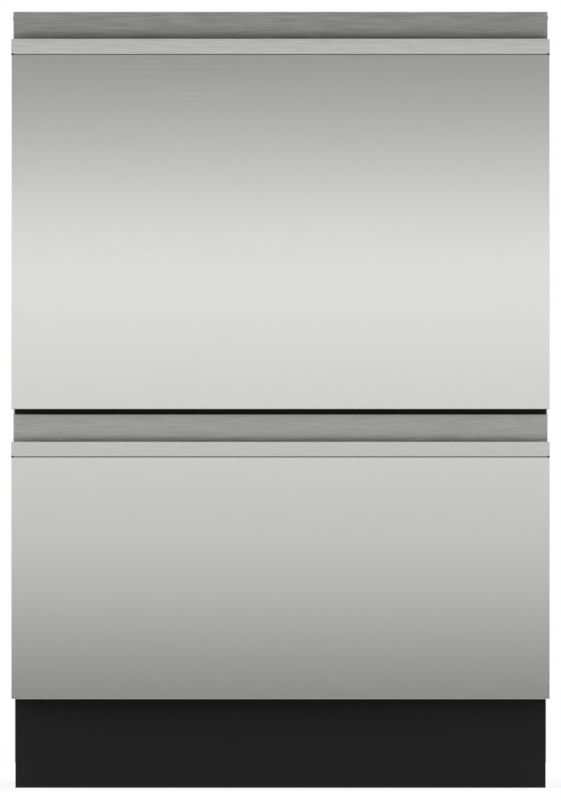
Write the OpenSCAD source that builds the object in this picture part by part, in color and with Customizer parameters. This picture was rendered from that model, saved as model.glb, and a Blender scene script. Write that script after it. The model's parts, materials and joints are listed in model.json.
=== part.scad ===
// Double-drawer dishwasher: a tall upper drawer and a shorter lower drawer in one case.
// Each drawer is a complete washer: tub, rack, spray arm, pump, dispenser, controls and lid.
// Millimetres, +Z up, the fronts face -Y, the origin is at the middle of the base on the floor.

/* [Fronts] */
// Width of the drawer fronts
front_w = 599; // [580:1:620]
// Depth from the front panels to the back of the case
body_d = 573; // [565:1:620]
// Height of the toe kick, up to the lower front
toe_h = 99.5; // [95:0.5:140]
// Height of the lower drawer's flat panel
lower_panel_h = 269.5; // [260:0.5:320]
// Height of the upper drawer's flat panel
upper_panel_h = 395; // [360:1:440]
// Height of the pull lip above each panel
lip_h = 17; // [14:0.5:22]
// Height of the recess wall that shows above the lip
band_h = 31; // [28:0.5:40]
// Gap between the two drawer fronts
front_gap = 5; // [4:0.5:8]
// Thickness of a whole drawer front, panel to backing
front_d = 43.5; // [42:0.5:55]
// Depth of the panel's folded edges
panel_return_d = 13; // [12:0.5:20]
// Radius of the panel's corners
corner_r = 2; // [1.5:0.1:3]
// Thickness of the stainless sheet
skin_t = 1.2; // [0.8:0.1:1.4]
// Seam between a lip and its panel
seam = 0.4; // [0.2:0.1:0.8]
// Depth of the lip's top, front to back
lip_d = 13; // [10:0.5:15]
// Radius of the finger scoop, inside
scoop_r = 16; // [14:0.5:17]
// How far the recess wall behind the lip stands in from each end of the front
band_inset = 2; // [1.5:0.5:4]

/* [Case] */
// How far each end of the fronts stands out past the case
front_overhang = 2.5; // [2:0.5:6]
// Thickness of the case's sheet metal
sheet_t = 1; // [0.8:0.1:1.5]
// Gap between a closed front and the case
case_gap = 1; // [0.6:0.1:2]
// How far each end of the toe kick stands in from the fronts
toe_inset = 4; // [3.5:0.5:20]
// How far the toe kick stands behind the fronts
toe_setback = 50; // [46:1:58]
// Underside of the base tray, above the floor
ground_h = 28; // [20:1:40]
// How far the back panel lies inside the case
back_recess = 10.5; // [8:0.5:14]
// How far the top panel lies below the upper front's top
top_drop = 2; // [1:0.5:4]
// Thickness of the middle rail
mid_rail_t = 7; // [5:0.5:8]
// Distance between the two worktop fixing holes
fixing_spacing = 480; // [400:5:520]
// Width of a worktop fixing bracket
bracket_w = 32; // [24:1:40]
// Thickness of a worktop fixing bracket
bracket_t = 1.5; // [1:0.1:2.5]
// Width of the folded edge that the back panel lies against
back_fold_w = 14; // [10:1:20]
// Height of the base tray's sides
tray_side_h = 102; // [80:1:110]
// Depth of the middle rail, front to back
mid_rail_d = 20; // [14:1:30]
// Radius of the worktop fixing holes
fixing_hole_r = 2.3; // [2:0.1:3]

/* [Feet] */
// Radius of a foot's pad
foot_r = 20; // [16:1:24]
// Height of a foot's pad
foot_pad_h = 9; // [6:0.5:12]
// Radius of a foot's threaded stem
foot_stem_r = 5; // [4:0.5:6]
// How far a foot can be screwed out
foot_travel = 20; // [10:1:30]
// Length of stem that stays in the bush when a foot is screwed out
foot_grip = 8; // [6:1:12]
// Height of a foot's threaded bush
foot_bush_h = 24; // [16:1:30]

/* [Runners] */
// Height of the outer runner rail
runner_h = 46; // [40:1:52]
// Thickness of the runner steel
runner_t = 1.4; // [1:0.1:1.8]
// Depth of the outer rail, out from the case wall
runner_d = 10; // [9:0.5:11]
// Running gap between nested rails, which the glides fill
runner_gap = 1.8; // [1.4:0.1:2.2]
// Distance from the end of the outer rail to the back panel
runner_back_gap = 26; // [20:1:40]
// Distance of the runners below the tub's rim
runner_drop = 62; // [50:1:80]
// How far a drawer opens
drawer_travel = 500; // [400:5:505]

/* [Tub] */
// Space between the tub and the outside of the case, for the runners
tub_side_gap = 17; // [16.5:0.5:24]
// Space between the tub and the back panel
tub_back_gap = 14; // [12:1:40]
// Wall thickness of the tub
tub_t = 4; // [3:0.5:5]
// Radius of the tub's upright corners, outside
tub_corner_r = 22; // [14:1:24]
// Width of the tub's rim flange
rim_w = 5; // [3:0.5:6]
// Thickness of the tub's rim flange
rim_t = 4; // [3:0.5:6]
// Tub rim below the top of the front
rim_drop = 37; // [36:0.5:39]
// Tub floor above the bottom of the front
floor_lift = 60; // [58:0.5:70]
// Depth of the sump in the tub floor
sump_depth = 16; // [12:0.5:20]
// Radius of the sump
sump_r = 80; // [70:1:95]
// Height of the pump motor under the sump
motor_h = 32; // [25:1:34]
// Radius of the pump motor
motor_r = 62; // [50:1:75]
// Radius of the motor's shaft
shaft_r = 4; // [3:0.5:6]
// Radius of the pump rotor
rotor_r = 34; // [26:1:42]
// Height of the pump rotor
rotor_h = 9; // [7:0.5:10]

/* [Lid] */
// Thickness of the lid's moulding
lid_t = 15.7; // [12:0.1:17]
// Height of the lid's seal
seal_h = 4; // [3:0.5:5]
// Width of the lid's seal
seal_w = 7; // [5:0.5:9]
// Gap between the seal and the rim at rest
seal_gap = 0.3; // [0.2:0.1:0.6]
// How far the lid lifts
lid_lift = 10; // [5:0.5:10]

/* [Controls] */
// How far the control ledge lies below the top of the front
ledge_drop = 6; // [5:0.5:8]
// Depth of the control ledge
ledge_d = 30; // [24:0.5:30]
// How far each end of the control housing stands in from the case
control_inset = 23; // [20:1:50]
// Thickness of the black control panel
control_t = 2; // [1.5:0.1:3]
// Radius of a push button
button_r = 7; // [5:0.5:9]
// Distance of the buttons from the middle
button_x = 90; // [60:1:200]
// Height of a button above the ledge
button_rise = 1.2; // [0.6:0.1:1.6]
// Gap round a button
button_gap = 0.3; // [0.2:0.05:0.5]

/* [Spray arm] */
// Reach of the spray arm from its hub
arm_reach = 205; // [150:1:212]
// Width of the spray arm's blades
arm_w = 42; // [30:1:50]
// Thickness of the spray arm
arm_t = 12; // [9:0.5:14]
// Radius of the spray arm's hub
hub_r = 24; // [20:1:30]
// Height of the arm's underside above the tub floor
arm_lift = 18; // [16:0.5:22]
// Radius of the filter plate
filter_r = 120; // [100:1:150]
// Radius of the fixed post that carries the arm
post_r = 9; // [7:0.5:11]
// Gap round the turning parts
spin_gap = 0.3; // [0.2:0.05:0.5]

/* [Racks] */
// Space between the rack and each side of the tub
rack_side_gap = 10; // [8:1:20]
// Space between the rack and the front of the tub, for the dispenser
rack_front_gap = 64; // [60:1:80]
// Space between the rack and the back of the tub
rack_back_gap = 8; // [7:1:20]
// Radius of a rack wire
wire_r = 2; // [1.6:0.1:2.6]
// Height of the rack's floor above the tub floor
rack_lift = 46; // [44:1:60]
// Rack top below the tub's rim
rack_drop = 24; // [18:1:40]
// Spacing of the rack's wires
wire_pitch = 38; // [30:1:60]
// Radius of the rack's upright corners
rack_corner_r = 14; // [10:1:18]
// Height of the pegs on the tub floor that the rack's feet stand on
rest_h = 22; // [18:1:26]
// Height of the tines above the rack's floor
tine_h = 62; // [40:1:75]
// Spacing of the tines
tine_pitch = 30; // [24:1:40]
// Depth of the fold-down cup shelf
cup_shelf_d = 88; // [60:1:100]
// How far each end of the cup shelf stands in from the rack
cup_shelf_inset = 30; // [25:1:60]
// Height of the cup shelf above the rack's floor
cup_shelf_z = 140; // [110:1:150]

/* [Cutlery basket] */
// Length of the cutlery basket, front to back
basket_len = 234; // [150:1:260]
// Width of the cutlery basket
basket_w = 74; // [50:1:90]
// Height of the cutlery basket
basket_h = 112; // [80:1:120]
// Wall thickness of the cutlery basket
basket_t = 2.5; // [2:0.1:4]
// Number of compartments in the cutlery basket
basket_cells = 3; // [2:1:4]

/* [Dispenser] */
// Width of the dispenser
dispenser_w = 150; // [120:1:180]
// Height of the dispenser
dispenser_h = 62; // [52:1:80]
// Depth of the dispenser
dispenser_d = 17; // [14:0.5:18]
// Width of the detergent cup
cup_w = 66; // [40:1:70]
// Height of the detergent cup
cup_h = 28; // [20:1:30]
// Thickness of the cup's door
door_t = 2.4; // [2:0.1:3]

/* [Connections] */
// Outer radius of the water inlet spigot
inlet_r = 13.2; // [12:0.1:14]
// Outer radius of the drain spigot
drain_r = 9.5; // [8:0.1:11]
// Bore radius of the mains lead gland
gland_r = 4.5; // [3.5:0.1:6]
// Length of the inlet and drain spigots behind the case
spigot_len = 12; // [10:0.5:14]
// Width of the mains connection box
mains_box_w = 90; // [70:1:120]
// Depth of the mains connection box
mains_box_d = 84; // [60:1:110]
// Height of the connections above the base tray's underside
service_h = 38; // [30:1:50]

/* [Hidden] */
$fn = 48;
WIRE_SIDES = 8;
EPS = 0.01;

steel = [0.76, 0.76, 0.75];
zinc = [0.68, 0.70, 0.71];
black = [0.07, 0.07, 0.07];
graphite = [0.22, 0.23, 0.24];
tub_grey = [0.62, 0.65, 0.67];
light_grey = [0.80, 0.82, 0.83];
wire_blue = [0.42, 0.47, 0.52];
rubber = [0.12, 0.12, 0.13];

// Heights, from the floor up. Index 0 is the lower drawer, index 1 the upper one.
panel_h = [lower_panel_h, upper_panel_h];
front_h = [for (h = panel_h) h + lip_h + band_h];
base_z = [toe_h, toe_h + front_h[0] + front_gap];
lip_z = [for (i = [0, 1]) base_z[i] + panel_h[i]];
band_z = [for (z = lip_z) z + lip_h];
top_z = [for (z = band_z) z + band_h];
rim_z = [for (z = top_z) z - rim_drop];
floor_z = [for (z = base_z) z + floor_lift];
ledge_z = [for (z = top_z) z - ledge_drop];
runner_z = [for (z = rim_z) z - runner_drop];
rack_z = [for (z = floor_z) z + rack_lift];
rack_top = [for (z = rim_z) z - rack_drop];

// Widths.
case_w = front_w - 2 * front_overhang;
band_w = front_w - 2 * band_inset;
toe_w = front_w - 2 * toe_inset;
tub_w = case_w - 2 * tub_side_gap;
control_w = case_w - 2 * control_inset;
rack_w = tub_w - 2 * tub_t - 2 * rack_side_gap;

// Depths, front to back.
front_y = -body_d / 2;
back_y = body_d / 2;
backing_y = front_y + front_d;
case_y = backing_y + case_gap;
case_x = case_w / 2;
inner_x = case_x - sheet_t;
back_panel_y = back_y - back_recess;
lid_front_y = backing_y + ledge_d + 2;
tub_front_y = lid_front_y + 3;
tub_back_y = back_panel_y - tub_back_gap;
tub_d = tub_back_y - tub_front_y;
tub_y = (tub_front_y + tub_back_y) / 2;
tub_x = tub_w / 2;
case_top_z = top_z[1] - top_drop;
tray_front_y = front_y + toe_setback + 11;
tray_back_y = back_panel_y - 2;
tray_front_h = toe_h - ground_h - 3;
tray_t = 1.5;
toe_y = front_y + toe_setback;
toe_t = 2;

// Nested runner rails, measured inwards from the case wall.
mid_web_x = inner_x - runner_t - 0.8;
mid_half_h = runner_h / 2 - runner_t - runner_gap;
in_half_h = mid_half_h - runner_t - runner_gap;
glide_t = runner_gap - 0.4;
mid_open_x = inner_x - runner_d - 0.5;
in_web_x = mid_open_x - 1.5;
in_reach_x = mid_web_x - runner_t - 0.8;
runner_y = case_y + 6;
runner_len = back_panel_y - runner_back_gap - runner_y;
mid_len = drawer_travel - 60;
in_len = drawer_travel - 90;

// Rack and what stands in it.
rack_y0 = tub_front_y + tub_t + rack_front_gap;
rack_y1 = tub_back_y - tub_t - rack_back_gap;
rack_d = rack_y1 - rack_y0;
rack_y = (rack_y0 + rack_y1) / 2;
cup_shelf_len = rack_d - 2 * cup_shelf_inset;
rack_x = rack_w / 2;
rack_nx = floor(rack_w / wire_pitch);
rack_ny = floor(rack_d / (1.6 * wire_pitch));
// wires that run front to back, and the places half way between them
function wire_at(k) = -rack_x + k * rack_w / rack_nx;
fold_row_x = wire_at(5.5);
fixed_rows_x = [wire_at(rack_nx - 5.5), wire_at(rack_nx - 3.5)];
tine_count = floor((rack_d - 70) / tine_pitch);
rack_foot_inset = 30;
// welded wires lie this far apart, and touching mats this gap
wire_weld = 1.2 * wire_r;
wire_flat = wire_r * cos(180 / WIRE_SIDES);
mat_gap = 0.05;
rack_foot_r = 6;
fold_count = tine_count - 1;
fold_len = (fold_count + 0.5) * tine_pitch;
fold_y0 = rack_y0 + 30;
shelf_bar_x = rack_x - 10;
fold_bar_z = 3.4 * wire_r;
clip_gap = 0.08;
clip_len = 8;

// Screws of the case.
screw_r = 1.9;
screw_head_r = 3.6;
screw_head_h = 1.5;
screw_clear = 0.1;
side_screw_y = [case_y + 42, (case_y + back_panel_y + 6) / 2, back_panel_y - 36];
top_flange_h = 8;
side_screw_z = [toe_h + 14, case_top_z - top_flange_h / 2 - 0.5];
fixing_y = case_y + 61;
bracket_over = 17;
foot_x = case_x - 42;
foot_y = [tray_front_y + 32, tray_back_y - 38];

// Spray arm's jets, from the hub outwards.
jet_count = 4;
first_jet_x = 60;
jet_pitch = (arm_reach - 25 - first_jet_x) / (jet_count - 1);

// Connections at the back, the lids' lugs, and what spreads with the case's width.
inlet_inset = 97;
spigot_pitch = 80;
gland_inset = 107;
bead_inset = 117;
inlet_x = inlet_inset - case_x;
drain_x = inlet_x + spigot_pitch;
gland_x = case_x - gland_inset;
service_z = ground_h + service_h;
gland_body_r = gland_r + 4;
gland_back_y = back_y - 2;
gland_len = 24;
boss_over = 4;
boss_back_y = back_y - spigot_len;
toe_clip_x = toe_w / 2 - 105.5;
toe_clip_w = 30;
bead_x = case_x - bead_inset;
front_rib_x = [for (k = [-3, -1, 1, 3]) k * (tub_x - 65) / 3];
lid_x = tub_x + rim_w - 1;
lid_back_y = tub_back_y + rim_w;
lid_d = lid_back_y - lid_front_y;
lid_y = (lid_front_y + lid_back_y) / 2;
lug_y = tub_y + 33;
lug_w = 14;
lug_z = 5;
lug_t = 3;
lug_reach = 5;
actuator_d = [30, 34];

// ---------------------------------------------------------------- helpers

// A box between two corners.
module block(low, high) {
    translate(low) cube(high - low);
}

// A rectangle with round corners, centred.
module round_rect(w, h, r) {
    square([w - 2 * r, h], center = true);
    square([w, h - 2 * r], center = true);
    for (x = [-1, 1], y = [-1, 1]) {
        translate([x * (w / 2 - r), y * (h / 2 - r)]) circle(r);
    }
}

// Extrudes a drawing of the Y-Z plane along X, centred on the middle of the object.
module along_x(length) {
    rotate([90, 0, 90]) translate([0, 0, -length / 2]) linear_extrude(length) children();
}

// Extrudes a drawing of the X-Z plane along +Y from y0.
module along_y(y0, length) {
    translate([0, y0 + length, 0]) rotate([90, 0, 0]) linear_extrude(length) children();
}

// A wire with flat sides, along X, Y or Z.
module wire_x(x0, x1, y, z, r = wire_r) {
    translate([x0, y, z]) rotate([0, 90, 0]) rotate(180 / WIRE_SIDES) cylinder(x1 - x0, r, r, $fn = WIRE_SIDES);
}
module wire_y(x, y0, y1, z, r = wire_r) {
    translate([x, y1, z]) rotate([90, 0, 0]) rotate(180 / WIRE_SIDES) cylinder(y1 - y0, r, r, $fn = WIRE_SIDES);
}
module wire_z(x, y, z0, z1, r = wire_r) {
    translate([x, y, z0]) rotate(180 / WIRE_SIDES) cylinder(z1 - z0, r, r, $fn = WIRE_SIDES);
}

// ---------------------------------------------------------------- case

module side_panel(side) {
    color(zinc) difference() {
        union() {
            block([min(side * inner_x, side * case_x), case_y, toe_h],
                  [max(side * inner_x, side * case_x), back_y, case_top_z]);
            // folded edge that the back panel is screwed to
            block([min(side * inner_x, side * (inner_x - back_fold_w)), back_panel_y + sheet_t, toe_h],
                  [max(side * inner_x, side * (inner_x - back_fold_w)), back_panel_y + 2 * sheet_t, case_top_z]);
        }
        for (y = side_screw_y, z = side_screw_z) {
            translate([side * (inner_x - 1), y, z]) rotate([0, side * 90, 0])
                cylinder(sheet_t + 2, screw_r + screw_clear, screw_r + screw_clear);
        }
    }
}

module left_side_panel() {
    side_panel(-1);
}

module right_side_panel() {
    side_panel(1);
}

module rear_panel() {
    color(zinc) {
        block([-inner_x, back_panel_y, toe_h], [inner_x, back_panel_y + sheet_t, case_top_z]);
        // pressed stiffening beads
        for (x = [-bead_x, 0, bead_x]) {
            block([x - 9, back_panel_y + sheet_t, toe_h + 60],
                  [x + 9, back_panel_y + sheet_t + 2, case_top_z - 60]);
        }
    }
}

module top_panel() {
    color(zinc) difference() {
        union() {
            block([-inner_x, case_y, case_top_z - sheet_t], [inner_x, back_panel_y, case_top_z]);
            for (s = [-1, 1]) {
                block([min(s * inner_x, s * (inner_x - sheet_t)), case_y, case_top_z - top_flange_h],
                      [max(s * inner_x, s * (inner_x - sheet_t)), back_panel_y, case_top_z]);
            }
        }
        for (s = [-1, 1], y = side_screw_y) {
            translate([s * (inner_x - 3), y, side_screw_z[1]]) rotate([0, s * 90, 0])
                cylinder(4, screw_r + screw_clear, screw_r + screw_clear);
        }
        for (s = [-1, 1]) {
            translate([s * fixing_spacing / 2, fixing_y, case_top_z - sheet_t - 1])
                cylinder(sheet_t + 2, fixing_hole_r, fixing_hole_r);
        }
    }
}

module base_tray() {
    boss_r = foot_stem_r + 8;
    boss_h = foot_bush_h;
    color(zinc) difference() {
        union() {
            block([-inner_x, tray_front_y, ground_h], [inner_x, tray_back_y, ground_h + tray_t]);
            for (s = [-1, 1]) {
                block([min(s * inner_x, s * (inner_x - tray_t)), tray_front_y, ground_h],
                      [max(s * inner_x, s * (inner_x - tray_t)), tray_back_y, ground_h + tray_side_h]);
            }
            block([-inner_x, tray_front_y, ground_h],
                  [inner_x, tray_front_y + tray_t, ground_h + tray_front_h]);
            block([-inner_x, tray_back_y - tray_t, ground_h], [inner_x, tray_back_y, ground_h + tray_side_h]);
            for (x = [-foot_x, foot_x], y = foot_y) {
                translate([x, y, ground_h]) cylinder(boss_h, boss_r, boss_r);
            }
        }
        for (x = [-foot_x, foot_x], y = foot_y) {
            translate([x, y, ground_h - 1])
                cylinder(boss_h + 2, foot_stem_r + screw_clear / 2, foot_stem_r + screw_clear / 2);
        }
        for (s = [-1, 1], y = side_screw_y) {
            translate([s * (inner_x - 4), y, side_screw_z[0]]) rotate([0, s * 90, 0])
                cylinder(6, screw_r + screw_clear, screw_r + screw_clear);
        }
        // holes for the inlet, the drain and the mains lead gland
        for (hole = [[inlet_x, inlet_r + boss_over], [drain_x, drain_r + boss_over], [gland_x, gland_body_r]]) {
            translate([hole[0], tray_back_y - 3, service_z]) rotate([-90, 0, 0])
                cylinder(6, hole[1] + screw_clear, hole[1] + screw_clear);
        }
    }
}

module mid_rail() {
    z1 = base_z[1] - 1;
    plate_t = 2;
    plate_drop = 22;
    color(black) {
        block([-inner_x, case_y, z1 - mid_rail_t], [inner_x, case_y + mid_rail_d, z1]);
        // end plates against the side panels
        for (s = [-1, 1]) {
            block([min(s * inner_x, s * (inner_x - plate_t)), case_y, z1 - mid_rail_t - plate_drop],
                  [max(s * inner_x, s * (inner_x - plate_t)), case_y + mid_rail_d, z1]);
        }
    }
}

module toe_kick() {
    clip_z = ground_h + 12;
    clip_h = 30;
    color(black) {
        block([-toe_w / 2, toe_y, 0], [toe_w / 2, toe_y + toe_t, toe_h - 0.3]);
        // clips that hold it to the base tray
        for (s = [-1, 1]) {
            block([s * toe_clip_x - toe_clip_w / 2, toe_y + toe_t, clip_z],
                  [s * toe_clip_x + toe_clip_w / 2, tray_front_y, clip_z + clip_h]);
        }
    }
}

module fixing_brackets() {
    front = case_y + 4;
    back = fixing_y + bracket_over;
    color(zinc) for (s = [-1, 1]) {
        translate([s * fixing_spacing / 2, 0, case_top_z]) difference() {
            block([-bracket_w / 2, front, 0], [bracket_w / 2, back, bracket_t]);
            translate([0, fixing_y, -1]) cylinder(bracket_t + 2, fixing_hole_r, fixing_hole_r);
        }
    }
}

// The outer rail of one runner, screwed to the case wall.
module outer_rail(side, z) {
    along_y(runner_y, runner_len) scale([side, 1]) {
        translate([inner_x - runner_t, z - runner_h / 2]) square([runner_t, runner_h]);
        for (s = [0, 1]) {
            translate([inner_x - runner_d, z - runner_h / 2 + s * (runner_h - runner_t)])
                square([runner_d, runner_t]);
        }
    }
}

module runner_outer_rails() {
    color(zinc) for (side = [-1, 1], z = runner_z) {
        outer_rail(side, z);
    }
}

// Gear motors that lift the lids. Each holds a lug on the lid's edge.
module lid_actuators() {
    body_w = 6;
    body_h = lid_lift + 10;
    body_x = inner_x - body_w;
    fork_x = lid_x + 0.6;
    color(graphite) for (side = [-1, 1], i = [0, 1]) {
        z0 = rim_z[i] + seal_gap + seal_h;
        block([min(side * inner_x, side * body_x), lug_y - actuator_d[0], z0],
              [max(side * inner_x, side * body_x), lug_y + actuator_d[1], z0 + body_h]);
        // fork that carries the lid's lug
        block([min(side * (body_x + EPS), side * fork_x), lug_y - lug_w / 2 - 3, z0 - 1],
              [max(side * (body_x + EPS), side * fork_x), lug_y + lug_w / 2 + 3, z0 + lug_z - 0.3]);
    }
}

// A valve body in the tray, with a boss through the tray's back wall and a spigot behind it.
module spigot_body(x, w, d, r, bore_r) {
    block([x - w / 2, tray_back_y - 8 - d, ground_h + tray_t], [x + w / 2, tray_back_y - 8, service_z + w / 2]);
    difference() {
        translate([x, tray_back_y - 9, service_z]) rotate([-90, 0, 0]) {
            cylinder(boss_back_y - tray_back_y + 9, r + boss_over, r + boss_over);
            cylinder(back_y - tray_back_y + 9, r, r);
        }
        translate([x, tray_back_y - 2, service_z]) rotate([-90, 0, 0])
            cylinder(back_y - tray_back_y + 9, bore_r, bore_r);
    }
}

module inlet_valve() {
    color(light_grey) spigot_body(inlet_x, 40, 38, inlet_r, inlet_r - 4);
}

module drain_outlet() {
    color(light_grey) spigot_body(drain_x, 32, 32, drain_r, drain_r - 2.2);
}

// Mains connection box with the gland that the lead passes through.
module power_module() {
    box_back = tray_back_y - 6;
    color(graphite) difference() {
        union() {
            block([gland_x - mains_box_w / 2, box_back - mains_box_d, ground_h + tray_t],
                  [gland_x + mains_box_w / 2, box_back, service_z + 24]);
            translate([gland_x, box_back - 1, service_z]) rotate([-90, 0, 0])
                cylinder(gland_back_y - box_back + 1, gland_body_r, gland_body_r);
        }
        translate([gland_x, gland_back_y - gland_len, service_z]) rotate([-90, 0, 0])
            cylinder(gland_len + 1, gland_r, gland_r);
    }
}

module case_screws() {
    shank = 5;
    color(steel) for (s = [-1, 1], y = side_screw_y, z = side_screw_z) {
        translate([s * case_x, y, z]) rotate([0, s * 90, 0]) {
            cylinder(screw_head_h, screw_head_r, screw_head_r);
            translate([0, 0, -shank]) cylinder(shank + EPS, screw_r, screw_r);
        }
    }
}

module foot(x, y) {
    nut_r = foot_stem_r + 4;
    nut_h = 6;
    stem_top = ground_h + foot_travel + foot_grip;
    color(black) translate([x, y, 0]) {
        cylinder(foot_pad_h, foot_r, foot_r);
        translate([0, 0, foot_pad_h]) cylinder(nut_h, nut_r, nut_r, $fn = 6);
        translate([0, 0, foot_pad_h + nut_h - EPS]) cylinder(stem_top - foot_pad_h - nut_h, foot_stem_r, foot_stem_r);
    }
}

module foot_front_left() {
    foot(-foot_x, foot_y[0]);
}

module foot_front_right() {
    foot(foot_x, foot_y[0]);
}

module foot_rear_left() {
    foot(-foot_x, foot_y[1]);
}

module foot_rear_right() {
    foot(foot_x, foot_y[1]);
}

// ---------------------------------------------------------------- lids

module lid(i) {
    z0 = rim_z[i] + seal_gap + seal_h;
    pocket_w = 2 * lid_x / 6;
    pocket_d = lid_d / 5;
    color(light_grey) {
        difference() {
            translate([0, lid_y, z0]) linear_extrude(lid_t) round_rect(2 * lid_x, lid_d, 12);
            // pockets between the lid's stiffening ribs
            for (a = [0 : 5], b = [0 : 4]) {
                translate([(a - 2.5) * (pocket_w - 1.4), lid_y + (b - 2) * (pocket_d - 1.6), z0 + lid_t - 7])
                    linear_extrude(8) square([pocket_w - 6, pocket_d - 6], center = true);
            }
        }
        for (s = [-1, 1]) {
            block([min(s * (lid_x - EPS), s * (lid_x + lug_reach)), lug_y - lug_w / 2, z0 + lug_z],
                  [max(s * (lid_x - EPS), s * (lid_x + lug_reach)), lug_y + lug_w / 2, z0 + lug_z + lug_t]);
        }
    }
}

module lid_seal(i) {
    color(rubber) translate([0, lid_y, rim_z[i] + seal_gap]) linear_extrude(seal_h) difference() {
        round_rect(2 * lid_x - 3, lid_d - 3, 14);
        round_rect(2 * lid_x - 3 - 2 * seal_w, lid_d - 3 - 2 * seal_w, 9);
    }
}

module lower_lid() {
    lid(0);
}

module lower_lid_seal() {
    lid_seal(0);
}

module upper_lid() {
    lid(1);
}

module upper_lid_seal() {
    lid_seal(1);
}

// ---------------------------------------------------------------- runner slides

// The middle member of one runner, with its nylon glides.
module runner_slide(side, z) {
    along_y(runner_y + 4, mid_len) scale([side, 1]) {
        translate([mid_web_x - runner_t, z - mid_half_h]) square([runner_t, 2 * mid_half_h]);
        for (s = [0, 1]) {
            translate([mid_open_x, z - mid_half_h + s * (2 * mid_half_h - runner_t)])
                square([mid_web_x - mid_open_x, runner_t]);
        }
    }
    for (y = [runner_y + 14, runner_y + mid_len / 2, runner_y + mid_len - 46]) {
        along_y(y, 36) scale([side, 1]) {
            for (s = [-1, 1]) {
                translate([mid_open_x + 1.5, z + s * (mid_half_h + glide_t / 2) - glide_t / 2 - EPS])
                    square([mid_web_x - mid_open_x - 3, glide_t + 2 * EPS]);
            }
        }
    }
}

module runner_slides(i) {
    color(zinc) for (side = [-1, 1]) {
        runner_slide(side, runner_z[i]);
    }
}

module lower_runner_slides() {
    runner_slides(0);
}

module upper_runner_slides() {
    runner_slides(1);
}

// ---------------------------------------------------------------- drawer front

module front_panel(i) {
    h = panel_h[i];
    color(steel) intersection() {
        difference() {
            translate([0, front_y + panel_return_d, base_z[i]]) linear_extrude(h) difference() {
                round_rect(front_w, 2 * panel_return_d, corner_r);
                translate([-front_w / 2 - 1, 0]) square([front_w + 2, panel_return_d + 1]);
            }
            block([-front_w / 2 + skin_t, front_y + skin_t, base_z[i] + skin_t],
                  [front_w / 2 - skin_t, front_y + panel_return_d + 1, base_z[i] + h + 1]);
        }
        // round the two bottom corners seen from the front
        along_y(front_y - 1, panel_return_d + 2) translate([0, base_z[i] + h / 2 + 5])
            round_rect(front_w, h + 10, corner_r);
    }
}

// Folded pull lip: front leg with a tongue behind the panel, round nose, top and a short leg behind.
module handle_lip(i) {
    z0 = lip_z[i];
    nose_r = 2;
    w = front_w;
    color(steel) along_x(w) {
        difference() {
            union() {
                translate([front_y, z0 + seam]) square([lip_d, lip_h - seam - nose_r]);
                translate([front_y + nose_r, z0 + seam]) square([lip_d - 2 * nose_r, lip_h - seam]);
                translate([front_y + nose_r, z0 + lip_h - nose_r]) circle(nose_r);
                translate([front_y + lip_d - nose_r, z0 + lip_h - nose_r]) circle(nose_r);
            }
            translate([front_y + skin_t, z0 - 1]) square([lip_d - 2 * skin_t, lip_h + 1 - nose_r]);
        }
    }
    color(steel) block([-w / 2 + skin_t + 0.3, front_y + skin_t, z0 - 12],
                       [w / 2 - skin_t - 0.3, front_y + 2 * skin_t, z0 + lip_h - nose_r]);
}

// The finger scoop behind the lip: a half-round trough whose back wall is the band above the lip.
module handle_scoop(i) {
    cz = lip_z[i] + 3;
    cy = backing_y - scoop_r - 2 * skin_t - 1;
    w = band_w;
    end_t = 2;
    color(steel) along_x(w) {
        difference() {
            translate([cy, cz]) circle(scoop_r + skin_t);
            translate([cy, cz]) circle(scoop_r);
            translate([cy - 2 * scoop_r, cz]) square([4 * scoop_r, 2 * scoop_r]);
        }
        // back wall
        translate([cy + scoop_r, cz]) square([skin_t, top_z[i] - cz]);
        // folded top edge
        translate([cy + scoop_r, top_z[i] - skin_t]) square([backing_y - cy - scoop_r, skin_t]);
        // front flange behind the lip's tongue
        translate([front_y + 2 * skin_t, cz - 6]) square([cy - scoop_r - front_y - 2 * skin_t + 0.2, 2]);
    }
    // plates that close the two ends of the trough
    color(steel) for (s = [-1, 1]) {
        translate([s * (w - end_t) / 2, 0, 0]) along_x(end_t) {
            intersection() {
                translate([cy, cz]) circle(scoop_r + skin_t / 2);
                translate([cy - 2 * scoop_r, cz - 2 * scoop_r]) square([4 * scoop_r, 2 * scoop_r - 3]);
            }
            translate([front_y + lip_d + 0.3, cz - 3])
                square([cy + scoop_r + skin_t / 2 - front_y - lip_d - 0.3, lip_h - 3]);
        }
    }
}

// Moulded backing that closes the front, ribbed inside.
module front_backing(i) {
    z0 = base_z[i] + skin_t;
    z1 = lip_z[i] + 3 - scoop_r - skin_t - 1;
    x1 = case_x;
    wall = 3;
    color(graphite) difference() {
        block([-x1, front_y + skin_t, z0], [x1, backing_y, z1]);
        // open towards the panel, in cells between ribs
        for (a = [0 : 4], b = [0 : 1]) {
            cell_w = (2 * x1 - wall) / 5;
            cell_h = (z1 - z0 - wall) / 2;
            block([-x1 + wall + a * cell_w, front_y, z0 + wall + b * cell_h],
                  [-x1 + a * cell_w + cell_w, backing_y - wall, z0 + b * cell_h + cell_h]);
        }
    }
    // rear plate behind the scoop, a strip of its own that stands on the moulding
    color(graphite) block([-x1, backing_y - 2 * skin_t + 0.2, z1 + mat_gap], [x1, backing_y, top_z[i] - skin_t - 1]);
}

module control_housing(i) {
    wall = 2.5;
    x1 = control_w / 2;
    color(black) difference() {
        block([-x1, backing_y, rim_z[i]], [x1, backing_y + ledge_d, ledge_z[i]]);
        block([-x1 + wall, backing_y - 1, rim_z[i] + wall],
              [x1 - wall, backing_y + ledge_d - wall, ledge_z[i] - control_t]);
        for (s = [-1, 1]) {
            translate([s * button_x, backing_y + ledge_d / 2, ledge_z[i] - control_t - 1])
                cylinder(control_t + 2, button_r + button_gap, button_r + button_gap);
        }
    }
}

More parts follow.
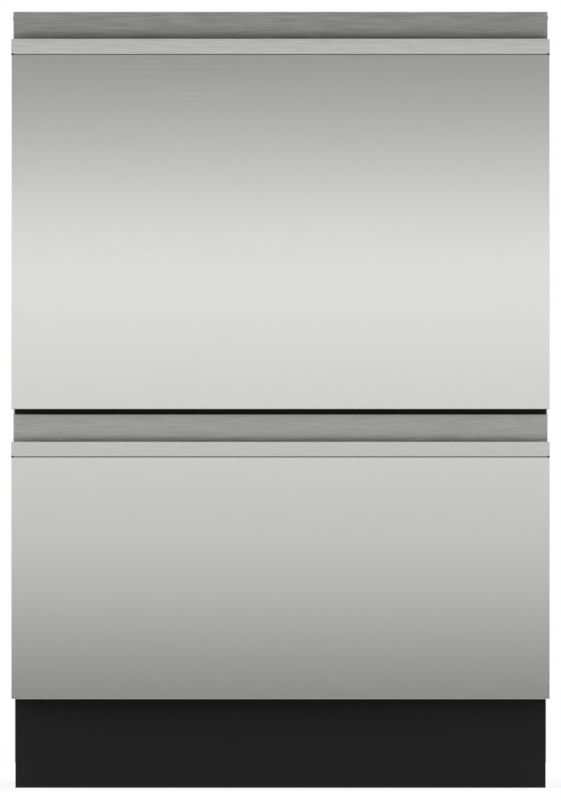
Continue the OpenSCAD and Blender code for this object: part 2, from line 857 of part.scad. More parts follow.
module button(i, side) {
    stem_h = 12;
    color(light_grey) translate([side * button_x, backing_y + ledge_d / 2, 0]) {
        translate([0, 0, ledge_z[i] - control_t - 2]) cylinder(control_t + 2 + button_rise, button_r, button_r);
        translate([0, 0, ledge_z[i] - control_t - 4]) cylinder(2 + EPS, button_r + 1.5, button_r + 1.5);
        translate([0, 0, ledge_z[i] - control_t - stem_h]) cylinder(stem_h - 4 + EPS, 2.5, 2.5);
    }
}

// ---------------------------------------------------------------- tub

module tub(i) {
    z0 = floor_z[i] - tub_t;
    h = rim_z[i] - z0;
    rib_t = 4;
    color(tub_grey) difference() {
        union() {
            translate([0, tub_y, z0]) linear_extrude(h) round_rect(tub_w, tub_d, tub_corner_r);
            translate([0, tub_y, rim_z[i] - rim_t]) linear_extrude(rim_t)
                round_rect(tub_w + 2 * rim_w, tub_d + 2 * rim_w, tub_corner_r + rim_w);
            translate([0, tub_y, z0 - sump_depth]) cylinder(sump_depth + 1, sump_r + tub_t, sump_r + tub_t);
            // ribs that the front is screwed to
            for (x = front_rib_x) {
                block([x - rib_t / 2, backing_y, floor_z[i] + 6], [x + rib_t / 2, tub_front_y + 1, rim_z[i]]);
            }
        }
        translate([0, tub_y, floor_z[i]]) linear_extrude(h)
            round_rect(tub_w - 2 * tub_t, tub_d - 2 * tub_t, tub_corner_r - tub_t);
        translate([0, tub_y, z0 - sump_depth + tub_t]) cylinder(sump_depth + tub_t, sump_r, sump_r);
        translate([0, tub_y, z0 - sump_depth - 1]) cylinder(tub_t + 2, shaft_r + spin_gap, shaft_r + spin_gap);
    }
    // rests for the rack's feet
    color(tub_grey) for (x = [-1, 1], y = [-1, 1]) {
        translate([x * (rack_x - rack_foot_inset), rack_y + y * (rack_d / 2 - rack_foot_inset), floor_z[i] - EPS])
            cylinder(rest_h + EPS, rack_foot_r + 3, rack_foot_r + 3);
    }
}

// Inner rails of the runners, on brackets on the tub's sides.
module tub_rails(i) {
    z = runner_z[i];
    color(zinc) for (side = [-1, 1]) {
        along_y(runner_y + 6, in_len) scale([side, 1]) {
            translate([in_web_x, z - in_half_h]) square([runner_t, 2 * in_half_h]);
            for (s = [0, 1]) {
                translate([in_web_x, z - in_half_h + s * (2 * in_half_h - runner_t)])
                    square([in_reach_x - in_web_x, runner_t]);
            }
        }
        for (y = [tub_front_y + tub_corner_r + 4, tub_y, runner_y + in_len - 60]) {
            block([min(side * tub_x, side * (in_web_x + EPS)), y, z - 9],
                  [max(side * tub_x, side * (in_web_x + EPS)), y + 40, z + 9]);
        }
    }
}

module pump_motor(i) {
    z1 = floor_z[i] - tub_t - sump_depth;
    color(graphite) {
        translate([0, tub_y, z1 - motor_h]) cylinder(motor_h, motor_r, motor_r);
        // four fixing ears
        for (a = [45 : 90 : 315]) {
            translate([0, tub_y, z1 - 6]) rotate(a) block([motor_r - 4, -8, 0], [motor_r + 12, 8, 6]);
        }
        // shaft that runs up through the sump
        translate([0, tub_y, z1 - EPS]) cylinder(tub_t + 4, shaft_r, shaft_r);
    }
}

module pump_rotor(i) {
    z0 = floor_z[i] - sump_depth + 1;
    plate_t = 2;
    boss_r = shaft_r + 6;
    blade_t = 2;
    color(light_grey) translate([0, tub_y, z0]) difference() {
        union() {
            cylinder(plate_t, rotor_r, rotor_r);
            cylinder(rotor_h, boss_r, boss_r);
            for (a = [0 : 60 : 300]) {
                rotate(a) block([boss_r - 2, -blade_t / 2, plate_t - 1], [rotor_r - 1, blade_t / 2, rotor_h - 1]);
            }
        }
        translate([0, 0, -1]) cylinder(rotor_h - 1, shaft_r + spin_gap, shaft_r + spin_gap);
    }
}

// Round filter plate over the sump, with the post that carries the spray arm.
module filter_plate(i) {
    color(graphite) difference() {
        union() {
            translate([0, tub_y, floor_z[i]]) cylinder(3, filter_r, filter_r);
            translate([0, tub_y, floor_z[i]]) cylinder(arm_lift - spin_gap, 16, 16);
            translate([0, tub_y, floor_z[i]]) cylinder(arm_lift + arm_t - 3, post_r, post_r);
        }
        // coarse drain slots
        for (a = [0 : 30 : 330]) {
            translate([0, tub_y, floor_z[i] - 1]) rotate(a) block([34, -3, 0], [70, 3, 5]);
        }
    }
}

module spray_arm(i) {
    color(light_grey) translate([0, tub_y, floor_z[i] + arm_lift]) difference() {
        union() {
            linear_extrude(arm_t) {
                for (s = [0, 180]) {
                    rotate(s) {
                        translate([0, -arm_w / 2]) square([arm_reach - arm_w / 2, arm_w]);
                        translate([arm_reach - arm_w / 2, 0]) circle(arm_w / 2);
                    }
                }
            }
            cylinder(arm_t + 3, hub_r, hub_r);
        }
        translate([0, 0, -1]) cylinder(arm_t - 1, post_r + spin_gap, post_r + spin_gap);
        // spray jets
        for (s = [0, 180], k = [0:jet_count - 1]) {
            r = first_jet_x + k * jet_pitch;
            rotate(s) translate([r, r / 20 - 5, arm_t - 3]) cylinder(5, 1.5, 1.5);
        }
    }
}

// ---------------------------------------------------------------- racks

module wire_section() {
    rotate(180 / WIRE_SIDES) circle(wire_r, $fn = WIRE_SIDES);
}

// One wall of a rack along X: three rails with uprights welded outside them. The rails turn half way round
// the rack's corners, where the next wall's rails meet them.
module rack_wall(length, low, high, uprights) {
    run = length / 2 - rack_corner_r;
    half_turn = 45 - 0.1;
    for (z = [low, (low + high) / 2, high]) {
        wire_x(-run, run, 0, z);
        for (s = [0, 1]) {
            mirror([s, 0, 0]) translate([run, rack_corner_r, z]) rotate(-90)
                rotate_extrude(angle = half_turn) translate([rack_corner_r, 0]) wire_section();
        }
    }
    for (x = uprights) {
        wire_z(x, -wire_weld, low - wire_weld, high + wire_weld);
    }
}

// The rack's floor: crossing wires, with the clips that carry the folding tines.
module rack_floor(z) {
    x1 = rack_x - wire_flat - mat_gap;
    y0 = rack_y0 + wire_flat + mat_gap;
    y1 = rack_y1 - wire_flat - mat_gap;
    foot_wire_x = rack_x - rack_foot_inset;
    for (x = concat([for (k = [1 : rack_nx - 1]) wire_at(k)], [fold_row_x, -foot_wire_x, foot_wire_x])) {
        wire_y(x, y0, y1, z + wire_weld);
    }
    for (k = [1 : rack_ny - 1]) {
        wire_x(-x1, x1, rack_y0 + k * rack_d / rack_ny, z);
    }
    for (y = [fold_y0 - 2 * wire_r, fold_y0 + fold_len - clip_len + 2 * wire_r]) {
        hinge_clip(fold_row_x, y, z + fold_bar_z, z + wire_r, wire_r + 3);
    }
}

// A row of fixed tines on a wire of its own, which lies on the floor's cross wires.
module fixed_row(x, z) {
    wire_z0 = z + 2 * wire_flat + mat_gap;
    wire_y(x, rack_y0 + 10, rack_y1 - 10, wire_z0);
    for (k = [0 : tine_count - 1]) {
        wire_z(x, rack_y0 + 40 + k * tine_pitch, wire_z0, z + tine_h);
    }
}

module rack(i) {
    z = rack_z[i];
    zt = rack_top[i];
    wide = [for (k = [1 : 2 : rack_nx - 1]) wire_at(k)];
    deep = [for (k = [1 : rack_ny - 1]) k * rack_d / rack_ny - rack_d / 2];
    foot_z = floor_z[i] + rest_h;
    foot_top = z + wire_weld - wire_flat - mat_gap;
    color(wire_blue) {
        rack_floor(z);
        translate([0, rack_y0, 0]) rack_wall(rack_w, z, zt, wide);
        translate([0, rack_y1, 0]) rotate(180) rack_wall(rack_w, z, zt, wide);
        translate([-rack_x, rack_y, 0]) rotate(-90) rack_wall(rack_d, z, zt, deep);
        translate([rack_x, rack_y, 0]) rotate(90) rack_wall(rack_d, z, zt, deep);
        for (x = fixed_rows_x) {
            fixed_row(x, z);
        }
        for (sx = [-1, 1], sy = [-1, 1]) {
            translate([sx * (rack_x - rack_foot_inset), rack_y + sy * (rack_d / 2 - rack_foot_inset), foot_z])
                cylinder(foot_top - foot_z, rack_foot_r, rack_foot_r);
        }
        // clips that carry the cup shelf, on the right wall
        if (i == 1) {
            for (k = [1, rack_ny - 1]) {
                shelf_clip(rack_y0 + k * rack_d / rack_ny - clip_len / 2, z + cup_shelf_z);
            }
        }
    }
}

// A clip round a hinge bar that runs along Y, standing on the rack's floor.
module hinge_clip(x, y, z, z_low, half_w) {
    difference() {
        block([x - half_w - 1, y, z_low], [x + half_w + 1, y + clip_len, z + half_w]);
        translate([x, y + clip_len + 1, z]) rotate([90, 0, 0])
            cylinder(clip_len + 2, wire_r + clip_gap, wire_r + clip_gap);
    }
}

module shelf_clip(y, z) {
    difference() {
        block([shelf_bar_x - wire_r - 2, y, z - wire_r - 2.5],
              [rack_x + wire_weld, y + clip_len, z + wire_r + 2.5]);
        translate([shelf_bar_x, y + clip_len + 1, z]) rotate([90, 0, 0])
            cylinder(clip_len + 2, wire_r + clip_gap, wire_r + clip_gap);
    }
}

// Row of tines that folds flat to the side, on a round bar in two clips.
module tine_row(i) {
    z = rack_z[i] + fold_bar_z;
    color(wire_blue) union() {
        translate([fold_row_x, fold_y0 + fold_len, z]) rotate([90, 0, 0]) cylinder(fold_len, wire_r, wire_r);
        for (k = [0 : fold_count - 1]) {
            wire_z(fold_row_x, fold_y0 + (k + 0.75) * tine_pitch, z, z + tine_h);
        }
    }
}

// Shelf for cups, hinged on the rack's right wall.
module cup_shelf() {
    z = rack_z[1] + cup_shelf_z;
    x1 = shelf_bar_x;
    y0 = rack_y - cup_shelf_len / 2;
    bars = 8;
    color(wire_blue) union() {
        translate([x1, y0 + cup_shelf_len, z]) rotate([90, 0, 0]) cylinder(cup_shelf_len, wire_r, wire_r);
        wire_y(x1 - cup_shelf_d, y0, y0 + cup_shelf_len, z);
        for (k = [0 : bars]) {
            wire_x(x1 - cup_shelf_d - wire_r, x1, y0 + 6 + k * (cup_shelf_len - 12) / bars, z);
        }
    }
}

module cutlery_basket() {
    x0 = -rack_x + 12;
    y0 = rack_y0 + 30;
    z0 = rack_z[0] + 2.2 * wire_r;
    cell = (basket_len - basket_t) / basket_cells;
    color(graphite) difference() {
        block([x0, y0, z0], [x0 + basket_w, y0 + basket_len, z0 + basket_h]);
        for (k = [0 : basket_cells - 1]) {
            block([x0 + basket_t, y0 + basket_t + k * cell, z0 + basket_t],
                  [x0 + basket_w - basket_t, y0 + (k + 1) * cell, z0 + basket_h + 1]);
        }
    }
}

// ---------------------------------------------------------------- dispenser

function dispenser_y() = tub_front_y + tub_t;
function dispenser_top(i) = rim_z[i] - 34;
function cup_z(i) = dispenser_top(i) - dispenser_h + 14;

module dispenser(i) {
    y0 = dispenser_y();
    y1 = y0 + dispenser_d;
    z1 = dispenser_top(i);
    color(light_grey) difference() {
        block([-dispenser_w / 2, y0, z1 - dispenser_h], [dispenser_w / 2, y1, z1]);
        // detergent cup
        block([-cup_w / 2 - 20, y0 + 2, cup_z(i)], [cup_w / 2 - 20, y1 + 1, cup_z(i) + cup_h]);
        // rinse aid filler
        translate([48, y0 + 4, cup_z(i) + cup_h / 2]) rotate([-90, 0, 0]) cylinder(dispenser_d, 11, 11);
    }
    // hinge ears at the foot of the cup
    color(light_grey) for (s = [-1, 1]) {
        translate([-20 + s * (cup_w / 2 + 5) - 1.5, y1 + door_t / 2 + 0.4, cup_z(i) - 4]) difference() {
            rotate([0, 90, 0]) cylinder(3, 3, 3);
            translate([-1, 0, 0]) rotate([0, 90, 0]) cylinder(5, 1.2, 1.2);
        }
    }
}

module dispenser_door(i) {
    y1 = dispenser_y() + dispenser_d;
    door_w = cup_w + 5;
    color(graphite) {
        block([-20 - door_w / 2, y1 + 0.4, cup_z(i) - 4], [-20 + door_w / 2, y1 + 0.4 + door_t, cup_z(i) + cup_h + 2]);
        translate([-20 - door_w / 2 - 5, y1 + 0.4 + door_t / 2, cup_z(i) - 4]) rotate([0, 90, 0])
            cylinder(door_w + 10, 1.15, 1.15);
    }
}

// ---------------------------------------------------------------- drawers

module lower_front_panel() { front_panel(0); }
module lower_handle_lip() { handle_lip(0); }
module lower_handle_scoop() { handle_scoop(0); }
module lower_front_backing() { front_backing(0); }
module lower_control_housing() { control_housing(0); }
module lower_power_button() { button(0, -1); }
module lower_start_button() { button(0, 1); }
module lower_tub() { tub(0); }
module lower_tub_rails() { tub_rails(0); }
module lower_pump_motor() { pump_motor(0); }
module lower_pump_rotor() { pump_rotor(0); }
module lower_filter_plate() { filter_plate(0); }
module lower_spray_arm() { spray_arm(0); }
module lower_rack() { rack(0); }
module lower_tine_row() { tine_row(0); }
module lower_dispenser() { dispenser(0); }
module lower_dispenser_door() { dispenser_door(0); }
module upper_front_panel() { front_panel(1); }
module upper_handle_lip() { handle_lip(1); }
module upper_handle_scoop() { handle_scoop(1); }
module upper_front_backing() { front_backing(1); }
module upper_control_housing() { control_housing(1); }
module upper_power_button() { button(1, -1); }
module upper_start_button() { button(1, 1); }
module upper_tub() { tub(1); }
module upper_tub_rails() { tub_rails(1); }
module upper_pump_motor() { pump_motor(1); }
module upper_pump_rotor() { pump_rotor(1); }
module upper_filter_plate() { filter_plate(1); }
module upper_spray_arm() { spray_arm(1); }
module upper_rack() { rack(1); }
module upper_tine_row() { tine_row(1); }
module upper_dispenser() { dispenser(1); }
module upper_dispenser_door() { dispenser_door(1); }

left_side_panel();
right_side_panel();
rear_panel();
top_panel();
base_tray();
mid_rail();
toe_kick();
fixing_brackets();
runner_outer_rails();
lid_actuators();
inlet_valve();
drain_outlet();
power_module();
case_screws();
foot_front_left();
foot_front_right();
foot_rear_left();
foot_rear_right();
lower_lid();
lower_lid_seal();
upper_lid();
upper_lid_seal();
lower_runner_slides();
upper_runner_slides();
lower_front_panel();
lower_handle_lip();
lower_handle_scoop();
lower_front_backing();
lower_control_housing();
lower_power_button();
lower_start_button();
lower_tub();
lower_tub_rails();
lower_pump_motor();
lower_pump_rotor();
lower_filter_plate();
lower_spray_arm();
lower_rack();
lower_tine_row();
lower_dispenser();
lower_dispenser_door();
cutlery_basket();
upper_front_panel();
upper_handle_lip();
upper_handle_scoop();
upper_front_backing();
upper_control_housing();
upper_power_button();
upper_start_button();
upper_tub();
upper_tub_rails();
upper_pump_motor();
upper_pump_rotor();
upper_filter_plate();
upper_spray_arm();
upper_rack();
upper_tine_row();
upper_dispenser();
upper_dispenser_door();
cup_shelf();
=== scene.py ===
# %% [markdown]
# # A double-drawer dishwasher
# A tall drawer sits over a shorter one in a galvanised case. Every piece is already placed and sized by the
# engineering model, which is loaded as a fixed frame. This notebook gives each piece its finish, and
# replaces the plain ones with pieces that have the bends, ribs and wires of the real machine.

# %% Load the frame
import json
import math

import bmesh
import bpy
from mathutils import Matrix, Vector


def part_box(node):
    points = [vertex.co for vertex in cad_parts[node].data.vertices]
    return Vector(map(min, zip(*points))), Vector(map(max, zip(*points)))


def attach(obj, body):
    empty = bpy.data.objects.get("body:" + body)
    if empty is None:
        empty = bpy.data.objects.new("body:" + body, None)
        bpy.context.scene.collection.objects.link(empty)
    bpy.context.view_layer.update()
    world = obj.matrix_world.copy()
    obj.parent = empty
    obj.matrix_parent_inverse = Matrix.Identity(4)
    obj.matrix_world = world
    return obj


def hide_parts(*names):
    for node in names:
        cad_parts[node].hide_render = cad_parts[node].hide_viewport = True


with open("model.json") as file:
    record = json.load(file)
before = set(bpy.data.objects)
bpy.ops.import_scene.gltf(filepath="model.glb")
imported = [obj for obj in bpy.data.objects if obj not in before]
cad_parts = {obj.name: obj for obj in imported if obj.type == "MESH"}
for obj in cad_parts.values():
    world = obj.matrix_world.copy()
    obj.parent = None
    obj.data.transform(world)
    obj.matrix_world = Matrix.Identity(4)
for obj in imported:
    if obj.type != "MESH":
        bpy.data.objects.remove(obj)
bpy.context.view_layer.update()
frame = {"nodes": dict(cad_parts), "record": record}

MM = 0.001
DRAWERS = ("lower", "upper")
slot_of = {row["node"]: row["material_slot"] for row in frame["record"]["subparts"]}
body_of = {node: body for body, nodes in frame["record"]["behaviour"]["bodies"].items() for node in nodes}

# %% [markdown]
# ## Camera
# The photograph is a straight view of the fronts with almost no perspective, as from far away with a long
# lens. A perspective camera with a 1100 mm lens does the same, and can still be moved round the object.
# The fronts are 538.3 pixels wide in a frame that is 561 by 800 pixels, which fixes the distance.

# %% Camera
FRAME_W, FRAME_H = 561, 800
FRONT_LEFT_PX, FRONT_RIGHT_PX = 11.3, 549.7
FLOOR_PX = 788.5
LENS, SENSOR = 1100.0, 36.0

front_low, front_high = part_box("upper_front_panel")
FRONT_Y = front_low.y
FRONT_W = front_high.x - front_low.x
metres_per_px = FRONT_W / (FRONT_RIGHT_PX - FRONT_LEFT_PX)
distance = FRAME_H * metres_per_px * LENS / SENSOR
camera_x = (FRAME_W / 2 - (FRONT_LEFT_PX + FRONT_RIGHT_PX) / 2) * metres_per_px
camera_z = (FLOOR_PX - FRAME_H / 2) * metres_per_px

camera_data = bpy.data.cameras.new("camera")
camera_data.lens = LENS
camera_data.sensor_width = SENSOR
camera_data.clip_end = 600
camera = bpy.data.objects.new("camera", camera_data)
camera.location = (camera_x, FRONT_Y - distance, camera_z)
camera.rotation_euler = (math.radians(90), 0, 0)
bpy.context.scene.collection.objects.link(camera)
bpy.context.scene.camera = camera
print("camera stands", round(distance, 2), "m in front of the panels")

# %% [markdown]
# ## Material helpers
# A finish is a Principled shader and a few small patterns: noise that is stretched along the brushing,
# speckle for moulded plastic, cells for zinc. The patterns read Object coordinates, so they stay on the
# piece when it moves. Numbers that are the same all over go straight on the shader's sockets.


# %% Material helpers
def fill_in(node, **numbers):
    """Sets a node's sockets by name, with an underscore for each space."""
    for socket, number in numbers.items():
        node.inputs[socket.replace("_", " ")].default_value = number
    return node


class Finish:
    """A new material with its Principled shader, and shortcuts for the nodes that feed it."""

    def __init__(self, name, colour, roughness, metallic=0.0, **sockets):
        self.material = bpy.data.materials.new(name)
        self.material.use_nodes = True
        self.nodes, self.links = self.material.node_tree.nodes, self.material.node_tree.links
        self.colour = colour
        self.shader = fill_in(
            self.nodes["Principled BSDF"], Base_Color=(*colour, 1), Roughness=roughness, Metallic=metallic,
            **sockets,
        )
        self.position = self.nodes.new("ShaderNodeTexCoord").outputs["Object"]

    def pattern(self, kind, scale, **numbers):
        """A pattern in object coordinates, scaled per axis in cells a metre."""
        mapping = fill_in(self.nodes.new("ShaderNodeMapping"), Scale=scale)
        texture = fill_in(self.nodes.new(kind), Scale=1.0, **numbers)
        self.links.new(self.position, mapping.inputs["Vector"])
        self.links.new(mapping.outputs["Vector"], texture.inputs["Vector"])
        return texture

    def noise(self, scale, detail=2.0):
        """Noise between 0 and 1 whose cells are stretched by the three scales."""
        return self.pattern("ShaderNodeTexNoise", scale, Detail=detail, Roughness=0.5).outputs["Fac"]

    def cells(self, scale):
        """A random grey for each cell of a mosaic."""
        split = self.nodes.new("ShaderNodeSeparateColor")
        self.links.new(self.pattern("ShaderNodeTexVoronoi", scale).outputs["Color"], split.inputs["Color"])
        return split.outputs["Red"]

    def tint(self, value, darker, lighter, at=(0.3, 0.7)):
        """Varies the base colour with a pattern, from darker to lighter times the colour."""
        ramp = self.nodes.new("ShaderNodeValToRGB")
        for stop, place, share in zip(ramp.color_ramp.elements, at, (darker, lighter)):
            stop.position = place
            stop.color = (*(min(channel * share, 1) for channel in self.colour), 1)
        self.links.new(value, ramp.inputs["Fac"])
        self.links.new(ramp.outputs["Color"], self.shader.inputs["Base Color"])
        return self

    def roughen(self, value, low, high, at=(0.3, 0.7)):
        """Varies the roughness with a pattern."""
        span = fill_in(
            self.nodes.new("ShaderNodeMapRange"), From_Min=at[0], From_Max=at[1], To_Min=low, To_Max=high,
        )
        self.links.new(value, span.inputs["Value"])
        self.links.new(span.outputs["Result"], self.shader.inputs["Roughness"])
        return self

    def bump(self, value, depth):
        """Raises the surface with a pattern, depth in metres."""
        node = fill_in(self.nodes.new("ShaderNodeBump"), Distance=depth, Strength=1.0)
        self.links.new(value, node.inputs["Height"])
        self.links.new(node.outputs["Normal"], self.shader.inputs["Normal"])
        return self


# %% [markdown]
# ## Brushed stainless steel
# The fronts are brushed from side to side. Each scratch is a hair wide and long, so the noise is almost
# flat along X and very fine across it. It moves the colour and the roughness a little and the normal by a
# few microns. The panels' grain is finer than a pixel. The lips and the recess walls have shorter and
# coarser scratches, which show more. The recess steel is painted darker than the panels' steel, as
# painted shade, and the hem behind each lip is dull and painted near black, as painted shade that the
# recess wall mirrors.

# %% Brushed stainless steel
STEEL = (0.70, 0.705, 0.69)


def brushed(name, across, contrast, rough=0.22, colour=STEEL, along=4):
    """Steel brushed along X. along and across count the scratches a metre, contrast is how much they show."""
    steel = Finish(name, colour, rough, metallic=1.0)
    hair = steel.noise((along, across, across), detail=3)
    steel.tint(hair, 1 - contrast, 1 + contrast * 0.6)
    steel.roughen(hair, rough - 0.03, rough + 0.05)
    steel.bump(steel.noise((9, across * 1.5, across * 1.5)), 0.000012)
    return steel.material


panel_steel = brushed("panel_steel", 3400, 0.02)
lip_steel = brushed("lip_steel", 520, 0.07, along=32)
# The recess steel's colour is about seven tenths of the panels': painted shade for the recess.
recess_painted_shade_steel = brushed("recess_painted_shade_steel", 480, 0.19, rough=0.38, colour=(0.495, 0.50, 0.485), along=30)
# The hem's near-black colour is painted shade, which the recess wall mirrors towards its foot.
hem_painted_shade_steel = brushed("hem_painted_shade_steel", 330, 0.10, rough=0.55, colour=(0.12, 0.121, 0.12))
print("steels:", panel_steel.name, lip_steel.name, recess_painted_shade_steel.name, hem_painted_shade_steel.name)

# %% [markdown]
# ## Sheet metal, plastics, rubber and wire
# Galvanised sheet shows zinc crystals, which a mosaic of cells gives. Moulded plastic has a fine spark
# texture in its bump. The racks are steel wire dipped in nylon, so they are smooth with soft gloss.

# %% Sheet metal and paint
zinc = Finish("galvanised_sheet", (0.56, 0.575, 0.585), 0.38, metallic=1.0)
crystals = zinc.cells((130, 130, 130))
zinc.tint(crystals, 0.86, 1.06, at=(0.0, 1.0)).roughen(crystals, 0.30, 0.46, at=(0.0, 1.0))
zinc = zinc.material

plated = Finish("plated_screw", (0.62, 0.62, 0.60), 0.28, metallic=1.0)
plated.roughen(plated.noise((900, 900, 900)), 0.2, 0.36)
plated = plated.material

rail_steel = Finish("rolled_rail_steel", (0.60, 0.61, 0.62), 0.30, metallic=1.0)
rail_steel.roughen(rail_steel.noise((500, 6, 500), detail=3), 0.24, 0.4)
rail_steel = rail_steel.material

black_paint = Finish("black_powder_coat", (0.009, 0.009, 0.009), 0.5, Specular_IOR_Level=0.22)
orange_peel = black_paint.noise((900, 900, 900), detail=3)
black_paint.tint(orange_peel, 0.8, 1.25).bump(orange_peel, 0.00004)
black_paint = black_paint.material


# %% Plastics, rubber and wire
def moulded(name, colour, rough, grain=1400, depth=0.00003, **sockets):
    """Moulded plastic with a fine spark texture."""
    plastic = Finish(name, colour, rough, **sockets)
    speckle = plastic.noise((grain, grain, grain), detail=3)
    plastic.tint(speckle, 0.93, 1.07).roughen(speckle, rough - 0.05, rough + 0.05)
    plastic.bump(speckle, depth)
    return plastic.material


graphite = moulded("graphite_plastic", (0.045, 0.048, 0.052), 0.48)
black_plastic = moulded("black_plastic", (0.014, 0.014, 0.015), 0.45)
gloss_black = moulded(
    "gloss_black_panel", (0.008, 0.008, 0.009), 0.12, grain=300, depth=0.000004, Coat_Weight=0.4,
)
tub_plastic = moulded("tub_plastic", (0.30, 0.325, 0.345), 0.36, grain=1100, depth=0.00002)
lid_plastic = moulded("lid_plastic", (0.50, 0.53, 0.55), 0.42)
arm_plastic = moulded("arm_plastic", (0.42, 0.45, 0.48), 0.35)
white_plastic = moulded("white_plastic", (0.66, 0.68, 0.69), 0.38)
filter_plastic = moulded("filter_plastic", (0.09, 0.098, 0.108), 0.4)
seal_rubber = moulded("seal_rubber", (0.022, 0.022, 0.024), 0.62, grain=700, depth=0.00005)
wire_coat = moulded(
    "nylon_coated_wire", (0.115, 0.145, 0.18), 0.28, grain=160, depth=0.000004, Coat_Weight=0.25,
)
display = Finish("display_window", (0.004, 0.005, 0.007), 0.05, Coat_Weight=1.0)
display.tint(display.noise((60, 60, 60)), 0.9, 1.1)
display = display.material
print("materials:", len(bpy.data.materials))

# %% [markdown]
# ## Mesh helpers
# Every piece starts from an operator's cube, circle or edge and is shaped by more operators. A finished
# mesh sits in place with its object at the origin. Flat faces stay flat: only edges under 35 degrees are
# shaded smooth.


# %% Mesh helpers
WELD_DIST = 0.005 * MM
AXIS_TURN = {
    "X": Matrix.Rotation(math.radians(90), 4, "Y"), "-X": Matrix.Rotation(math.radians(-90), 4, "Y"),
    "Y": Matrix.Rotation(math.radians(-90), 4, "X"), "Z": Matrix(),
}


def as_object(name, bm):
    """Makes a linked object of the bmesh."""
    mesh = bpy.data.meshes.new(name)
    bm.to_mesh(mesh)
    bm.free()
    made = bpy.data.objects.new(name, mesh)
    bpy.context.scene.collection.objects.link(made)
    return made


def piece(name, bm, material, node=None, body=None, weld=True, flat=True):
    """Makes a piece of the bmesh, in place of a node or as an extra on a body. With flat, the large faces
    set the shading, so that a rounded edge doesn't spread a gradient over them."""
    if weld:
        bmesh.ops.remove_doubles(bm, verts=bm.verts, dist=WELD_DIST)
    bmesh.ops.recalc_face_normals(bm, faces=bm.faces)
    made = as_object(name, bm)
    for polygon in made.data.polygons:
        polygon.use_smooth = True
    made.data.set_sharp_from_angle(angle=math.radians(35))
    made.data.materials.append(material)
    if flat:
        made.modifiers.new("flat_faces", "WEIGHTED_NORMAL").keep_sharp = True
    if node is not None:
        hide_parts(node)
    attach(made, body or body_of[node])
    return made


def soften(made, width, angle=50):
    """Rounds every sharp edge of a finished piece with a Bevel modifier, ahead of its other modifiers."""
    bevel = made.modifiers.new("soft_edges", "BEVEL")
    bevel.width, bevel.segments = width, 2
    bevel.limit_method = "ANGLE"
    bevel.angle_limit = math.radians(angle)
    made.modifiers.move(len(made.modifiers) - 1, 0)
    return made


def join(bm, part):
    """Adds a finished part to a piece."""
    mesh = bpy.data.meshes.new("part")
    part.to_mesh(mesh)
    part.free()
    bm.from_mesh(mesh)
    bpy.data.meshes.remove(mesh)


def round_edges(bm, edges, width, segments=2):
    """Rounds the edges."""
    return bmesh.ops.bevel(
        bm, geom=edges, offset=width, offset_type="OFFSET", segments=segments, profile=0.5,
        affect="EDGES", clamp_overlap=True, material=-1,
    )


def draw_out(bm, edges, vec):
    """Carries sheet on from edges by a vector and returns the edges that it ends at."""
    made = bmesh.ops.extrude_edge_only(bm, edges=edges)["geom"]
    verts = [item for item in made if isinstance(item, bmesh.types.BMVert)]
    bmesh.ops.translate(bm, verts=verts, vec=vec)
    return [item for item in made if isinstance(item, bmesh.types.BMEdge) and set(item.verts) <= set(verts)]


def rise(bm, faces, vec):
    """Extrudes flat faces into a solid."""
    made = bmesh.ops.extrude_face_region(bm, geom=faces)["geom"]
    bmesh.ops.translate(bm, verts=[v for v in made if isinstance(v, bmesh.types.BMVert)], vec=vec)


def block(bm, low, high, round_off=0.0):
    """A box between two opposite corners in metres, with its edges rounded if asked."""
    low, high = Vector([*map(min, low, high)]), Vector([*map(max, low, high)])
    place = Matrix.Translation((low + high) / 2) @ Matrix.Diagonal((*(high - low), 1))
    verts = bmesh.ops.create_cube(bm, size=1.0, matrix=place)["verts"]
    if round_off:
        round_edges(bm, list({edge for vert in verts for edge in vert.link_edges}), round_off)


def drum(bm, centre, radius, height, axis="Z", sides=48, round_off=0.0):
    """A cylinder that starts at centre and runs along the axis."""
    place = Matrix.Translation(centre) @ AXIS_TURN[axis] @ Matrix.Translation((0, 0, height / 2))
    verts = bmesh.ops.create_cone(
        bm, cap_ends=True, segments=sides, radius1=radius, radius2=radius, matrix=place, depth=height,
    )["verts"]
    if round_off:
        faces = {face for vert in verts for face in vert.link_faces}
        rims = {edge for face in faces if len(face.verts) == sides for edge in face.edges}
        round_edges(bm, list(rims), round_off)


def strip(bm, points, x0, x1, thickness, bends):
    """Sheet folded along X. points are (y, z) of its outer side, bends the radius at each inner point."""
    rows = [[bm.verts.new((x, y, z)) for y, z in points] for x in (x0, x1)]
    for k in range(len(points) - 1):
        bm.faces.new((rows[0][k], rows[0][k + 1], rows[1][k + 1], rows[1][k]))
    bm.normal_update()
    folds = [bm.edges.get((rows[0][k], rows[1][k])) for k in range(1, len(bends) + 1)]
    for fold, radius in zip(folds, bends):
        if radius:
            turn = fold.link_faces[0].normal.angle(fold.link_faces[1].normal)
            round_edges(bm, [fold], radius * math.tan(turn / 2), segments=6)
    bmesh.ops.recalc_face_normals(bm, faces=bm.faces)
    bmesh.ops.solidify(bm, geom=bm.faces[:], thickness=thickness)


# %% [markdown]
# ## Drawer fronts
# A front panel is a shallow pan: a flat face whose sides and foot are folded back. The cube is opened at
# its back and top, the folds are rounded with a bevel, and the sheet gets its thickness inwards.

